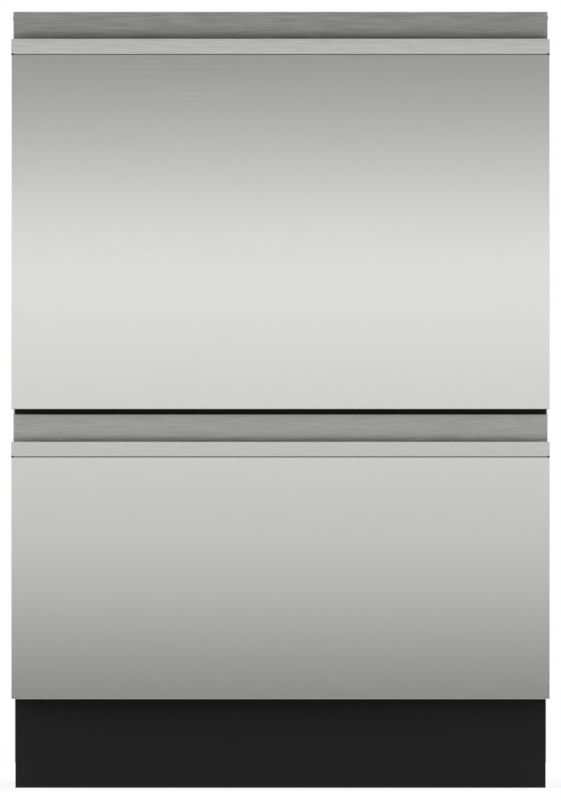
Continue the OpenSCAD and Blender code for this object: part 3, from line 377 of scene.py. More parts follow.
# %% Front panels
SHEET, SEAM = 1.2 * MM, 0.7 * MM
for drawer in DRAWERS:
    low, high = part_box(f"{drawer}_front_panel")
    bm = bmesh.new()
    block(bm, low, (high.x, high.y, high.z - SEAM))
    open_faces = [face for face in bm.faces if face.normal.y > 0.9 or face.normal.z > 0.9]
    bmesh.ops.delete(bm, geom=open_faces, context="FACES_ONLY")
    folds = [edge for edge in bm.edges if len(edge.link_faces) == 2]
    round_edges(bm, folds, 0.6 * MM, segments=4)
    bmesh.ops.recalc_face_normals(bm, faces=bm.faces)
    bmesh.ops.solidify(bm, geom=bm.faces[:], thickness=SHEET)
    panel = piece(f"{drawer}_front_skin", bm, panel_steel, node=f"{drawer}_front_panel")
    soften(panel, 0.2 * MM)
    print(panel.name, "is", round((high.z - low.z) / MM, 1), "mm high")

# %% [markdown]
# ## Pull lips
# The lip above each panel is a strip folded over a round nose, which the fingers hook behind. Its face
# leans by a few degrees, so it mirrors a lower part of the room than the panel does, and looks lighter or
# darker than the panel beside it. A tongue reaches down behind the panel and leaves a fine seam.

# %% Pull lips
LIP_LEAN, NOSE = 0.9 * MM, 1.0 * MM
for drawer in DRAWERS:
    low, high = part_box(f"{drawer}_handle_lip")
    seam_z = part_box(f"{drawer}_front_panel")[1].z
    tongue_y = low.y + 2 * SHEET
    profile = (
        (tongue_y, low.z), (tongue_y, seam_z), (low.y + LIP_LEAN, seam_z), (low.y, high.z), (high.y, high.z),
        (high.y, seam_z + MM),
    )
    bm = bmesh.new()
    strip(bm, profile, low.x, high.x, SHEET, bends=(0, 0.5 * MM, NOSE, NOSE))
    # Faces turned to the back take the near-black hem steel: painted shade.
    for face in bm.faces:
        face.material_index = int(face.normal.y > 0.5)
    lip = piece(f"{drawer}_pull_lip", bm, lip_steel, node=f"{drawer}_handle_lip")
    lip.data.materials.append(hem_painted_shade_steel)
    soften(lip, 0.2 * MM)
    print(lip.name, "stands", round((high.z - seam_z) / MM, 1), "mm above its seam")

# %% [markdown]
# ## Seam shadow strips
# A black rubber bead in the seam between each lip and its panel, set back half a millimetre, paints the
# seam's shadow as a thin dark line. A small black plug ends it at both sides, flush with the steel, and paints
# the shade of a notch there.

# %% Seam shadow strips
PLUG_W, PLUG_H, SLACK = 2.4 * MM, 2.2 * MM, 0.05 * MM
for drawer in DRAWERS:
    low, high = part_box(f"{drawer}_front_panel")
    seam_z = high.z
    bm = bmesh.new()
    # Painted shadow: a black strip set back in the seam.
    block(bm, (low.x + MM, low.y + 0.5 * MM, seam_z - SEAM - 2 * SLACK),
          (high.x - MM, low.y + SHEET, seam_z + SLACK))
    # Painted shade: a black plug at each end of the seam, flush with the face.
    for x in (low.x, high.x - PLUG_W):
        block(bm, (x + SLACK, low.y, seam_z - PLUG_H / 2),
              (x + PLUG_W - SLACK, low.y + MM, seam_z + PLUG_H / 2))
    seal = piece(f"{drawer}_seam_shadow_strip", bm, seal_rubber, body=f"{drawer}_drawer",
                 weld=False)
    soften(seal, 0.15 * MM)
    print(seal.name, "closes the seam at", round(seam_z / MM, 1), "mm")

# %% [markdown]
# ## Finger scoops
# Behind the lip the sheet drops into a half-round trough and climbs again as the recess wall, whose top is
# folded back. The whole scoop takes the darker recess steel, which is painted shade. The wall's foot leans
# back a little into the trough, so it mirrors the back of the lip, whose near-black colour is painted shade,
# and the recess darkens towards the lip. The trough is spun from one edge about its own axis, and two
# plates close its ends.

# %% Finger scoops
SCOOP_R, END_PLATE = 16 * MM, 2 * MM
FOOT_LEAN, BEND_ABOVE_LIP = 2 * MM, 7 * MM
for drawer in DRAWERS:
    low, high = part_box(f"{drawer}_handle_scoop")
    wall_y = high.y - 2 * SHEET - MM
    foot_y, bend_z = wall_y + FOOT_LEAN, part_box(f"{drawer}_handle_lip")[1].z + BEND_ABOVE_LIP
    axis_y, axis_z = foot_y - SCOOP_R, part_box(f"{drawer}_front_panel")[1].z + 3 * MM
    bm = bmesh.new()
    foot = bm.edges.new([bm.verts.new((x, foot_y, axis_z)) for x in (low.x, high.x)])
    bmesh.ops.spin(
        bm, geom=[foot], cent=(0, axis_y, axis_z), axis=(1, 0, 0), dvec=(0, 0, 0), angle=-math.pi, steps=24,
        use_merge=False,
    )
    bend_edge = draw_out(bm, [foot], (0, -FOOT_LEAN, bend_z - axis_z))
    top_edge = draw_out(bm, bend_edge, (0, 0, high.z - bend_z))
    draw_out(bm, top_edge, (0, high.y - wall_y, 0))
    round_edges(bm, top_edge, 1.3 * MM, segments=4)
    round_edges(bm, bend_edge, 6.5 * MM, segments=8)
    bmesh.ops.recalc_face_normals(bm, faces=bm.faces)
    bmesh.ops.solidify(bm, geom=bm.faces[:], thickness=SHEET)
    for x in (low.x, high.x - END_PLATE):
        disc = bmesh.new()
        place = Matrix.Translation((x, axis_y, axis_z)) @ AXIS_TURN["X"]
        bmesh.ops.create_circle(disc, cap_ends=True, segments=48, radius=SCOOP_R + 0.9 * MM, matrix=place)
        bmesh.ops.bisect_plane(
            disc, geom=disc.verts[:] + disc.edges[:] + disc.faces[:], plane_co=(0, 0, axis_z),
            plane_no=(0, 0, 1), clear_outer=True,
        )
        rise(disc, disc.faces[:], (END_PLATE, 0, 0))
        join(bm, disc)
    block(bm, (low.x, low.y, axis_z - 6 * MM), (high.x, axis_y - SCOOP_R, axis_z - 4 * MM))
    # The scoop takes the darker recess steel: painted shade.
    scoop = piece(f"{drawer}_finger_scoop", bm, recess_painted_shade_steel, node=f"{drawer}_handle_scoop")
    print(scoop.name, "is", round((high.z - low.z) / MM, 1), "mm from trough to top")

# %% [markdown]
# ## Toe kick
# The black plinth is a folded plate with its top edge turned back, held by two clips on the base tray.

# %% Toe kick
TOE_SHEET, CLIP_X, CLIP_HALF = 2 * MM, 190 * MM, 15 * MM
low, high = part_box("toe_kick")
profile = ((low.y, low.z), (low.y, high.z), (low.y + 9 * MM, high.z))
bm = bmesh.new()
strip(bm, profile, low.x, high.x, TOE_SHEET, bends=(1.5 * MM,))
for x in (-CLIP_X, CLIP_X):
    block(bm, (x - CLIP_HALF, low.y + TOE_SHEET, 40 * MM), (x + CLIP_HALF, high.y, 70 * MM), MM)
toe = soften(piece("plinth", bm, black_paint, node="toe_kick"), 0.4 * MM)
print(toe.name, "is", round((high.x - low.x) / MM), "mm wide")

# %% [markdown]
# ## More helpers for the inner pieces
# Sheets, mouldings and wires need a few more steps: a plate with round corners, a frame between two outlines,
# a part turned on a lathe, a screw thread, a screw head with a cross recess, and wire bent along a path. Each
# is made in a small bmesh of its own, so that all its edges can be picked at once, and is then joined.


# %% Plates and frames
def edges_along(bm, axis):
    """The edges that run along axis 0, 1 or 2."""
    return [e for e in bm.edges if abs((e.verts[1].co - e.verts[0].co).normalized()[axis]) > 0.999]


def round_rims(bm, width, segments=2, angle=1.0):
    """Rounds the edges that turn by more than an angle in radians."""
    round_edges(bm, [e for e in bm.edges if e.calc_face_angle(0) > angle], width, segments)


def plate(bm, low, high, corner, axis=2, round_off=0.0, segments=5):
    """A box whose four edges along one axis are round."""
    part = bmesh.new()
    block(part, low, high)
    round_edges(part, edges_along(part, axis), corner, segments)
    if round_off:
        round_rims(part, round_off)
    join(bm, part)


def around(bm, centre, count, make, start=0.0):
    """Makes a part count times round an upright axis. start is the angle of the first one."""
    for k in range(count):
        part = bmesh.new()
        make(part)
        turn = Matrix.Rotation(k * math.tau / count + start, 4, "Z")
        bmesh.ops.transform(part, matrix=Matrix.Translation(centre) @ turn, verts=part.verts)
        join(bm, part)


def fill(bm, edges):
    """Fills outlines with triangles, less the outlines inside them."""
    bmesh.ops.triangle_fill(bm, use_beauty=True, use_dissolve=False, edges=edges)


def outline(bm, low, high, corner):
    """A rounded rectangle of edges at the height of its first corner."""
    place = Matrix.Translation(((low[0] + high[0]) / 2, (low[1] + high[1]) / 2, low[2]))
    size = Matrix.Diagonal((high[0] - low[0], high[1] - low[1], 1, 1))
    verts = bmesh.ops.create_grid(bm, x_segments=1, y_segments=1, size=0.5, matrix=place @ size)["verts"]
    bmesh.ops.bevel(
        bm, geom=verts, offset=corner, offset_type="OFFSET", segments=6, profile=0.5, affect="VERTICES",
        clamp_overlap=True, material=-1,
    )
    bmesh.ops.delete(bm, geom=bm.faces[:], context="FACES_ONLY")


def hole(bm, centre, radius, sides=32):
    """A circle of edges."""
    verts = bmesh.ops.create_circle(
        bm, cap_ends=False, segments=sides, radius=radius, matrix=Matrix.Translation(centre),
    )["verts"]
    return list({edge for vert in verts for edge in vert.link_edges})


def cut_sheet(bm, part, thickness):
    """Fills the outlines of a part and gives the sheet its thickness upwards."""
    fill(part, part.edges[:])
    rise(part, part.faces[:], (0, 0, thickness))
    join(bm, part)


def frame_ring(bm, low, high, width, corner, round_off=0.0):
    """A flat frame: a rounded rectangle less a smaller one."""
    part, ring = bmesh.new(), bmesh.new()
    outline(part, low, high, corner)
    outline(part, (low[0] + width, low[1] + width, low[2]), (high[0] - width, high[1] - width, low[2]),
            max(corner - width, 0.5 * MM))
    cut_sheet(ring, part, high[2] - low[2])
    if round_off:
        round_rims(ring, round_off)
    join(bm, ring)


# %% Turned parts, threads and screw heads
def place_part(bm, part, centre, axis):
    """Turns a part from Z to its axis, moves it to its place and joins it."""
    bmesh.ops.remove_doubles(part, verts=part.verts, dist=0.002 * MM)
    bmesh.ops.recalc_face_normals(part, faces=part.faces)
    bmesh.ops.transform(part, matrix=Matrix.Translation(centre) @ AXIS_TURN[axis], verts=part.verts)
    join(bm, part)


def turned(bm, centre, profile, axis="Z", steps=36):
    """Turns a profile of (radius, along) points in millimetres about an axis, as on a lathe."""
    part = bmesh.new()
    verts = [part.verts.new((radius * MM, 0, along * MM)) for radius, along in profile]
    edges = [part.edges.new(pair) for pair in zip(verts, verts[1:])]
    bmesh.ops.spin(
        part, geom=verts + edges, cent=(0, 0, 0), axis=(0, 0, 1), dvec=(0, 0, 0), angle=math.tau, steps=steps,
        use_merge=True,
    )
    place_part(bm, part, centre, axis)


def thread(bm, centre, radius, pitch, turns, axis="Z", steps=20):
    """A screw thread: a small triangle spun about the axis with a rise at each step. Sizes in millimetres."""
    part = bmesh.new()
    corners = ((radius - pitch * 0.45, -pitch * 0.46), (radius, 0), (radius - pitch * 0.45, pitch * 0.46))
    verts = [part.verts.new((r * MM, 0, z * MM)) for r, z in corners]
    edges = [part.edges.new((verts[k], verts[(k + 1) % 3])) for k in range(3)]
    bmesh.ops.spin(
        part, geom=verts + edges, cent=(0, 0, 0), axis=(0, 0, 1), dvec=(0, 0, pitch * MM / steps),
        angle=math.tau * turns, steps=int(steps * turns), use_merge=False,
    )
    bmesh.ops.holes_fill(part, edges=[e for e in part.edges if e.is_boundary], sides=4)
    place_part(bm, part, centre, axis)


def screw_head(bm, centre, radius, height, axis="Z"):
    """A low screw head with a cross recess, wider at its foot than at its top."""
    part = bmesh.new()
    arm, half, top = radius * 0.55, radius * 0.14, 0.86
    bmesh.ops.create_circle(part, cap_ends=False, segments=24, radius=radius * top, matrix=Matrix())
    rim_edges = part.edges[:]
    quarter = ((arm, -half), (arm, half), (half, half))
    corners = [Matrix.Rotation(k * math.pi / 2, 2) @ Vector(point) for k in range(4) for point in quarter]
    cross = [part.verts.new((*point, 0)) for point in corners]
    cross_edges = [part.edges.new((cross[k], cross[(k + 1) % 12])) for k in range(12)]
    fill(part, part.edges[:])
    fill(part, draw_out(part, cross_edges, (0, 0, -0.6 * height)))
    foot = {vert for edge in draw_out(part, rim_edges, (0, 0, -height)) for vert in edge.verts}
    bmesh.ops.scale(part, vec=(1 / top, 1 / top, 1), verts=list(foot))
    bmesh.ops.translate(part, verts=part.verts, vec=(0, 0, height))
    place_part(bm, part, centre, axis)


# %% Bent wire
def bend(points, radius=10 * MM, steps=4):
    """Rounds the corners of a path."""
    points = [Vector(point) for point in points]
    path = [points[0]]
    for before, corner, after in zip(points, points[1:], points[2:]):
        back, ahead = (before - corner).normalized() * radius, (after - corner).normalized() * radius
        for k in range(steps + 1):
            t = k / steps
            path.append(corner + back * (1 - t) ** 2 + ahead * t ** 2)
    return path + [points[-1]]


def wire(bm, paths, radius, closed=False):
    """Runs round wire along each path, with closed ends."""
    curve = bpy.data.curves.new("wire", "CURVE")
    curve.dimensions = "3D"
    curve.bevel_depth = radius
    curve.bevel_resolution = 3
    curve.use_fill_caps = True
    for path in paths:
        spline = curve.splines.new("POLY")
        spline.points.add(len(path) - 1)
        for point, place in zip(spline.points, path):
            point.co = (*place, 1)
        spline.use_cyclic_u = closed
    holder = bpy.data.objects.new("wire", curve)
    mesh = bpy.data.meshes.new_from_object(holder)
    bm.from_mesh(mesh)
    bpy.data.meshes.remove(mesh)
    bpy.data.objects.remove(holder)


def rounded_tips(bm, tips, radius):
    """Closes tines with round tips."""
    for tip in tips:
        bmesh.ops.create_uvsphere(
            bm, u_segments=10, v_segments=6, radius=radius, matrix=Matrix.Translation(tip),
        )


print("helpers ready")

# %% [markdown]
# ## Case panels
# The sides and the back are one-millimetre galvanised sheet. Pressed beads keep such thin sheet from drumming,
# so each panel gets long round-ended beads that stand a little over a millimetre proud, hemmed edges, and a
# fold at the back that the rear panel is screwed to.

# %% Side panels
BEAD, BEAD_HALF = 1.3 * MM, 11 * MM


def bead(bm, low, high, axis):
    """A pressed bead: a long round-ended rib with soft shoulders, seen along one axis."""
    size = [abs(b - a) for a, b in zip(low, high)]
    across = min(size[k] for k in range(3) if k != axis)
    plate(bm, low, high, across * 0.49, axis=axis, round_off=min(size[axis] * 0.8, across * 0.3), segments=8)


back_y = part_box("rear_panel")[0].y + MM
for side, node in ((-1, "left_side_panel"), (1, "right_side_panel")):
    low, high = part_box(node)
    outer, fold = (high.x, low.x) if side > 0 else (low.x, high.x)
    inner = outer - side * MM
    bm = bmesh.new()
    block(bm, (inner, low.y, low.z), (outer, high.y, high.z), 0.3 * MM)
    block(bm, (fold, back_y, low.z), (inner, back_y + MM, high.z))
    x0, x1 = outer - side * 0.5 * MM, outer + side * BEAD
    for y in (low.y + 0.16 * (high.y - low.y), high.y - 0.16 * (high.y - low.y)):
        bead(bm, (x0, y - BEAD_HALF, low.z + 60 * MM), (x1, y + BEAD_HALF, high.z - 60 * MM), 0)
    for share in (0.2, 0.4, 0.6, 0.8):
        z = low.z + share * (high.z - low.z)
        bead(bm, (x0, low.y + 130 * MM, z - 10 * MM), (x1, high.y - 130 * MM, z + 10 * MM), 0)
    sheet = piece(f"{node}_sheet", bm, zinc, node=node)
    print(sheet.name, "stands", BEAD / MM, "mm proud at its beads")

# %% Rear panel, top panel and case screws
low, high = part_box("rear_panel")
bead_y = low.y + 0.4 * MM
bm = bmesh.new()
block(bm, low, (high.x, low.y + MM, high.z))
for x in (-180 * MM, 0, 180 * MM):
    bead(bm, (x - BEAD_HALF, bead_y, low.z + 50 * MM), (x + BEAD_HALF, high.y, high.z - 50 * MM), 1)
for x in (-90 * MM, 90 * MM):
    for k in range(6):
        z = low.z + (90 + 14 * k) * MM
        bead(bm, (x - 35 * MM, bead_y, z), (x + 35 * MM, high.y, z + 6 * MM), 1)
rear = piece("rear_sheet", bm, zinc, node="rear_panel")

low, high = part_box("top_panel")
bead_z = (high.z - 0.4 * MM, high.z + BEAD)
bm = bmesh.new()
block(bm, (low.x, low.y, high.z - MM), high, 0.3 * MM)
for side in (-1, 1):
    x = side * 150 * MM
    block(bm, (side * high.x, low.y, low.z), (side * (high.x - MM), high.y, high.z))
    bead(bm, (x - 12 * MM, low.y + 90 * MM, bead_z[0]), (x + 12 * MM, high.y - 40 * MM, bead_z[1]), 2)
for y in (0, 120 * MM):
    bead(bm, (-110 * MM, y - 12 * MM, bead_z[0]), (110 * MM, y + 12 * MM, bead_z[1]), 2)
top = piece("top_sheet", bm, zinc, node="top_panel")

HEAD_R = 3.6 * MM
screw_low, screw_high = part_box("case_screws")
panel_low, panel_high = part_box("right_side_panel")
case_x = panel_high.x
screw_y = (screw_low.y + HEAD_R, (panel_low.y + back_y + 5 * MM) / 2, screw_high.y - HEAD_R)
bm = bmesh.new()
for side, axis in ((-1, "-X"), (1, "X")):
    for y in screw_y:
        for z in (screw_low.z + HEAD_R, screw_high.z - HEAD_R):
            screw_head(bm, (side * case_x, y, z), HEAD_R, 1.5 * MM, axis)
            drum(bm, (case_x - 5 * MM if side > 0 else -case_x, y, z), 1.9 * MM, 5 * MM, "X", sides=16)
screws = piece("case_cross_screws", bm, plated, node="case_screws", flat=False)
print(rear.name, top.name, screws.name)

# %% [markdown]
# ## Levelling feet
# Each foot is a ribbed pad with a hexagon for the spanner and a threaded stem, which screws into a bush in
# the base tray. The thread is one small triangle spun round the stem while it climbs.

# %% Levelling feet
for node in ("foot_front_left", "foot_front_right", "foot_rear_left", "foot_rear_right"):
    low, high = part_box(node)
    centre = ((low.x + high.x) / 2, (low.y + high.y) / 2, 0)
    reach = (high.x - low.x) / 2 / MM
    bm = bmesh.new()
    turned(bm, centre, (
        (0, 0), (reach - 2, 0), (reach, 1.6), (reach, 4.2), (reach - 1.5, 6), (12, 8.6), (0, 9),
    ))
    drum(bm, (centre[0], centre[1], 8.8 * MM), 9 * MM, 6 * MM, sides=6, round_off=0.5 * MM)
    stem = high.z / MM
    drum(bm, (centre[0], centre[1], 14 * MM), 4.1 * MM, (stem - 14) * MM, sides=24, round_off=0.5 * MM)
    thread(bm, (centre[0], centre[1], 17 * MM), 5.0, 1.75, int((stem - 19) / 1.75))
    foot = piece(f"{node}_screw", bm, black_plastic, node=node, flat=False)
    soften(foot, 0.2 * MM)
print("feet reach", round(stem), "mm high")

# %% [markdown]
# ## Connections at the back
# The water inlet ends in a threaded spigot, the drain in a ribbed one for a hose clip, and the mains lead
# would pass through a gland with a hexagon nut. All three are turned parts on moulded bodies in the base tray.

# %% Connections
low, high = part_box("inlet_valve")
x, z = (low.x + high.x) / 2, 66 * MM
bm = bmesh.new()
plate(bm, (low.x, low.y, low.z), (high.x, low.y + 38 * MM, high.z), 5 * MM, axis=1, round_off=1.5 * MM)
for k in range(5):
    y = low.y + (5 + 6 * k) * MM
    plate(bm, (low.x - 1.2 * MM, y, low.z + 8 * MM), (high.x + 1.2 * MM, y + 2.4 * MM, high.z - 8 * MM),
          4 * MM, axis=1)
end = (high.y - low.y) / MM
turned(bm, (x, low.y, z), (
    (0, 36), (17.2, 36), (17.2, end - 12.6), (16.4, end - 12), (12.1, end - 12), (12.1, end - 0.6),
    (11.5, end), (9.2, end), (9.2, 45), (0, 45),
), axis="Y", steps=48)
thread(bm, (x, high.y - 10.2 * MM, z), 13.2, 1.8, 5, axis="Y", steps=32)
valve = piece("inlet_valve_body", bm, white_plastic, node="inlet_valve", flat=False)
soften(valve, 0.3 * MM, angle=60)

low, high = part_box("drain_outlet")
x, z = (low.x + high.x) / 2, 66 * MM
bm = bmesh.new()
plate(bm, (low.x, low.y, low.z), (high.x, low.y + 32 * MM, high.z), 5 * MM, axis=1, round_off=1.5 * MM)
end = (high.y - low.y) / MM
barbs = [(8.4, end - 12)]
for k in range(3):
    barbs += [(8.4, end - 11 + 3.4 * k), (9.5, end - 10.6 + 3.4 * k), (8.6, end - 8.2 + 3.4 * k)]
turned(bm, (x, low.y, z), (
    (0, 30), (13.5, 30), (13.5, end - 12.6), (12.7, end - 12), *barbs, (8.2, end), (7.3, end), (7.3, 42),
    (0, 42),
), axis="Y", steps=48)
drain = piece("drain_spigot_body", bm, graphite, node="drain_outlet", flat=False)
soften(drain, 0.3 * MM, angle=60)

low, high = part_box("power_module")
x = (low.x + high.x) / 2
box_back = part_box("base_tray")[1].y - 6 * MM
bm = bmesh.new()
plate(bm, low, (high.x, box_back, high.z), 4 * MM, axis=1, round_off=1.2 * MM)
plate(bm, (low.x + 4 * MM, low.y + 4 * MM, high.z - 1.5 * MM),
      (high.x - 4 * MM, box_back - 4 * MM, high.z), 3 * MM)
end = (high.y - box_back) / MM
turned(bm, (x, box_back, z), (
    (0, 1), (8.5, 1), (8.5, end - 3.4), (8.0, end - 2.2), (6.4, end), (4.5, end), (4.5, -6), (0, -6),
), axis="Y", steps=48)
drum(bm, (x, box_back + 5.2 * MM, z), 8.5 * MM, 3.2 * MM, "Y", sides=6)
for side in (-1, 1):
    for y in (low.y + 12 * MM, box_back - 12 * MM):
        screw_head(bm, (x + side * 34 * MM, y, high.z - 0.4 * MM), 3.2 * MM, 0.4 * MM)
module = piece("mains_box", bm, graphite, node="power_module", flat=False)
soften(module, 0.3 * MM, angle=60)
print(valve.name, drain.name, module.name)

# %% [markdown]
# ## Tubs
# Each drawer is a moulded plastic tub. Its outer surface is a box with round upright corners and a soft foot,
# opened at the top, with a round hole in its floor that drops into the sump. The wall then gets its
# thickness inwards. The rim, the outside ribs, the rests for the rack and the ribs that hold the front follow.

# %% Measures of the drawers
WALL, RIM_W, RIM_H = 4 * MM, 5 * MM, 4 * MM
TUB_CORNER, SUMP_R, SUMP_DEPTH = 22 * MM, 80 * MM, 16 * MM
BACKING_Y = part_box("lower_front_backing")[1].y
motor_low, motor_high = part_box("lower_pump_motor")
TUB_Y = (motor_low.y + motor_high.y) / 2
floor_of = {drawer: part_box(f"{drawer}_filter_plate")[0].z for drawer in DRAWERS}
rim_of = {drawer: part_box(f"{drawer}_tub")[1].z for drawer in DRAWERS}
tub_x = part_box("lower_tub")[1].x - RIM_W
tub_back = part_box("lower_tub")[1].y - RIM_W
tub_front = 2 * TUB_Y - tub_back
RACK_X, RACK_FRONT, RACK_BACK = tub_x - 14 * MM, tub_front + 68 * MM, tub_back - 12 * MM
FOOT_IN = 30 * MM
print("tub", round(2 * tub_x / MM), "by", round((tub_back - tub_front) / MM), "mm")

# %% Tubs
for drawer in DRAWERS:
    floor_z, rim_z = floor_of[drawer], rim_of[drawer]
    under = floor_z - WALL
    shell = bmesh.new()
    block(shell, (-tub_x, tub_front, under), (tub_x, tub_back, rim_z))
    round_edges(shell, edges_along(shell, 2), TUB_CORNER, 8)
    caps = [face for face in shell.faces if abs(face.normal.z) > 0.9]
    foot_loop = [edge for face in caps if face.normal.z < 0 for edge in face.edges]
    bmesh.ops.delete(shell, geom=[face for face in caps if face.normal.z > 0], context="FACES_ONLY")
    round_edges(shell, foot_loop, 9 * MM, 4)
    bottom = [face for face in shell.faces if face.normal.z < -0.99 and len(face.verts) > 8]
    loop = [edge for face in bottom for edge in face.edges]
    bmesh.ops.delete(shell, geom=bottom, context="FACES_ONLY")
    ring = hole(shell, (0, TUB_Y, under), SUMP_R + WALL, sides=56)
    fill(shell, loop + ring)
    sump = draw_out(shell, ring, (0, 0, -SUMP_DEPTH))
    fill(shell, sump + hole(shell, (0, TUB_Y, under - SUMP_DEPTH), 4.3 * MM, sides=20))
    bmesh.ops.recalc_face_normals(shell, faces=shell.faces)
    bmesh.ops.solidify(shell, geom=shell.faces[:], thickness=WALL)
    bm = bmesh.new()
    join(bm, shell)
    frame_ring(
        bm, (-tub_x - RIM_W, tub_front - RIM_W, rim_z - RIM_H), (tub_x + RIM_W, tub_back + RIM_W, rim_z),
        RIM_W + WALL, TUB_CORNER + RIM_W, 0.8 * MM,
    )
    # outside ribs, upright at the sides and back, clear of the runner rails
    runner_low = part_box(f"{drawer}_tub_rails")[0].z - 6 * MM
    for side in (-1, 1):
        for k in range(9):
            y = tub_front + 45 * MM + k * 47 * MM
            block(bm, (side * tub_x - 2.2 * MM, y, under + 10 * MM),
                  (side * tub_x + 2.2 * MM, y + 3 * MM, runner_low))
    for k in range(11):
        x = (k - 5) * 48 * MM
        block(bm, (x - 1.5 * MM, tub_back - MM, under + 10 * MM),
              (x + 1.5 * MM, tub_back + 4 * MM, rim_z - RIM_H))
    # ribs that the front is screwed to, and the rests for the rack's feet
    for k in (-3, -1, 1, 3):
        x = k * (tub_x - 65 * MM) / 3
        block(bm, (x - 2 * MM, BACKING_Y, floor_z + 6 * MM), (x + 2 * MM, tub_front + MM, rim_z), 0.5 * MM)
    for x in (-RACK_X + FOOT_IN, RACK_X - FOOT_IN):
        for y in (RACK_FRONT + FOOT_IN, RACK_BACK - FOOT_IN):
            turned(bm, (x, y, floor_z), ((0, -0.5), (12, -0.5), (10, 3), (9, 20.5), (7.6, 22), (0, 22)))
    # moulded channels inside the floor that lead the water to the sump
    around(bm, (0, TUB_Y, floor_z), 8, lambda part: plate(
        part, (128 * MM, -2 * MM, -0.5 * MM), (186 * MM, 2 * MM, 2.2 * MM), 1.9 * MM, round_off=0.8 * MM,
    ), start=math.pi / 8)
    # level ledges along both inner sides
    for side in (-1, 1):
        face_x = side * (tub_x - WALL)
        for z in (floor_z + 70 * MM, rim_z - 30 * MM):
            plate(bm, (face_x + side * 0.5 * MM, tub_front + 40 * MM, z - 4 * MM),
                  (face_x - side * 1.8 * MM, tub_back - 40 * MM, z + 4 * MM), 3.9 * MM, axis=0,
                  round_off=1.2 * MM)
    tub = piece(f"{drawer}_moulded_tub", bm, tub_plastic, node=f"{drawer}_tub")
    print(tub.name, "holds", round((rim_z - floor_z) / MM), "mm of height")

# %% [markdown]
# ## Pumps, filters and spray arms
# The washing pump hangs under the sump in a ribbed housing. Over the sump lies a round filter with a grille
# of rings and spokes, and the spray arm turns on the post in its middle. The arm is a box with many cuts
# along its length: the cuts are drawn in towards the tips and swept into a shallow S, and its edges rounded.

# %% Pump motors
for drawer in DRAWERS:
    low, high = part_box(f"{drawer}_pump_motor")
    centre = (0, TUB_Y, low.z)
    ears_z = floor_of[drawer] - WALL - SUMP_DEPTH
    tall = (ears_z - low.z) / MM
    bm = bmesh.new()
    turned(bm, centre, (
        (0, 0), (26, 0), (30, 2), (52, 2), (58, 6), (58, tall - 5), (62, tall - 3), (62, tall), (0, tall),
    ), steps=48)
    around(bm, centre, 24, lambda part: block(
        part, (56 * MM, -1.1 * MM, 4 * MM), (61.4 * MM, 1.1 * MM, (tall - 2) * MM), 0.4 * MM,
    ))
    around(bm, centre, 4, lambda part: plate(
        part, (56 * MM, -8 * MM, (tall - 6) * MM), (74 * MM, 8 * MM, tall * MM), 6 * MM, round_off=0.6 * MM,
    ), start=math.pi / 4)
    for k in range(4):
        spot = Matrix.Rotation((k + 0.5) * math.pi / 2, 3, "Z") @ Vector((68 * MM, 0, 0))
        turned(bm, (spot.x, TUB_Y + spot.y, ears_z - 8 * MM), (
            (0, 0), (3.4, 0), (3.8, 0.6), (3.8, 2.2), (0, 2.2),
        ), steps=20)
    plate(bm, (-16 * MM, TUB_Y + 36 * MM, low.z + 6 * MM), (16 * MM, TUB_Y + 62 * MM, low.z + 22 * MM),
          3 * MM, round_off=MM)
    drum(bm, (0, TUB_Y, ears_z), 4 * MM, high.z - ears_z, sides=24, round_off=0.6 * MM)
    motor = piece(f"{drawer}_pump_housing", bm, graphite, node=f"{drawer}_pump_motor")
    soften(motor, 0.5 * MM, angle=60)
    print(motor.name, "is", round(tall), "mm high")

# %% Filter plates
FILTER_R = 120
for drawer in DRAWERS:
    z = floor_of[drawer]
    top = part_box(f"{drawer}_filter_plate")[1].z
    centre = (0, TUB_Y, z)
    bm = bmesh.new()
    turned(bm, centre, (
        (FILTER_R, 0), (FILTER_R, 1.6), (FILTER_R - 1.5, 3), (FILTER_R - 9, 3), (FILTER_R - 10, 2),
        (FILTER_R - 10, 0), (FILTER_R, 0),
    ), steps=64)
    turned(bm, centre, ((0, 0), (FILTER_R - 9, 0), (FILTER_R - 9, 0.7), (0, 0.7)), steps=64)
    for radius in range(46, FILTER_R - 12, 8):
        turned(bm, centre, (
            (radius, 0.5), (radius + 2.6, 0.5), (radius + 2.2, 2.4), (radius + 0.4, 2.4), (radius, 0.5),
        ), steps=64)
    around(bm, centre, 36, lambda part: block(
        part, (38 * MM, -0.9 * MM, 0.4 * MM), ((FILTER_R - 8) * MM, 0.9 * MM, 2.8 * MM),
    ))
    tall = (top - z) / MM
    turned(bm, centre, (
        (0, 0), (40, 0), (40, 5), (38.5, 6.5), (36, 6.5), (34.5, 3.5), (20, 3.5), (16, 6), (16, 17.6),
        (9, 17.7), (9, tall - 0.8), (8.2, tall), (0, tall),
    ), steps=56)
    around(bm, centre, 3, lambda part: plate(
        part, (22 * MM, -3 * MM, 2.5 * MM), (36 * MM, 3 * MM, 10 * MM), 2.8 * MM, round_off=0.8 * MM,
    ), start=0.5)
    piece(f"{drawer}_filter_grille", bm, filter_plastic, node=f"{drawer}_filter_plate", flat=False)
print("filters are", 2 * FILTER_R, "mm wide")

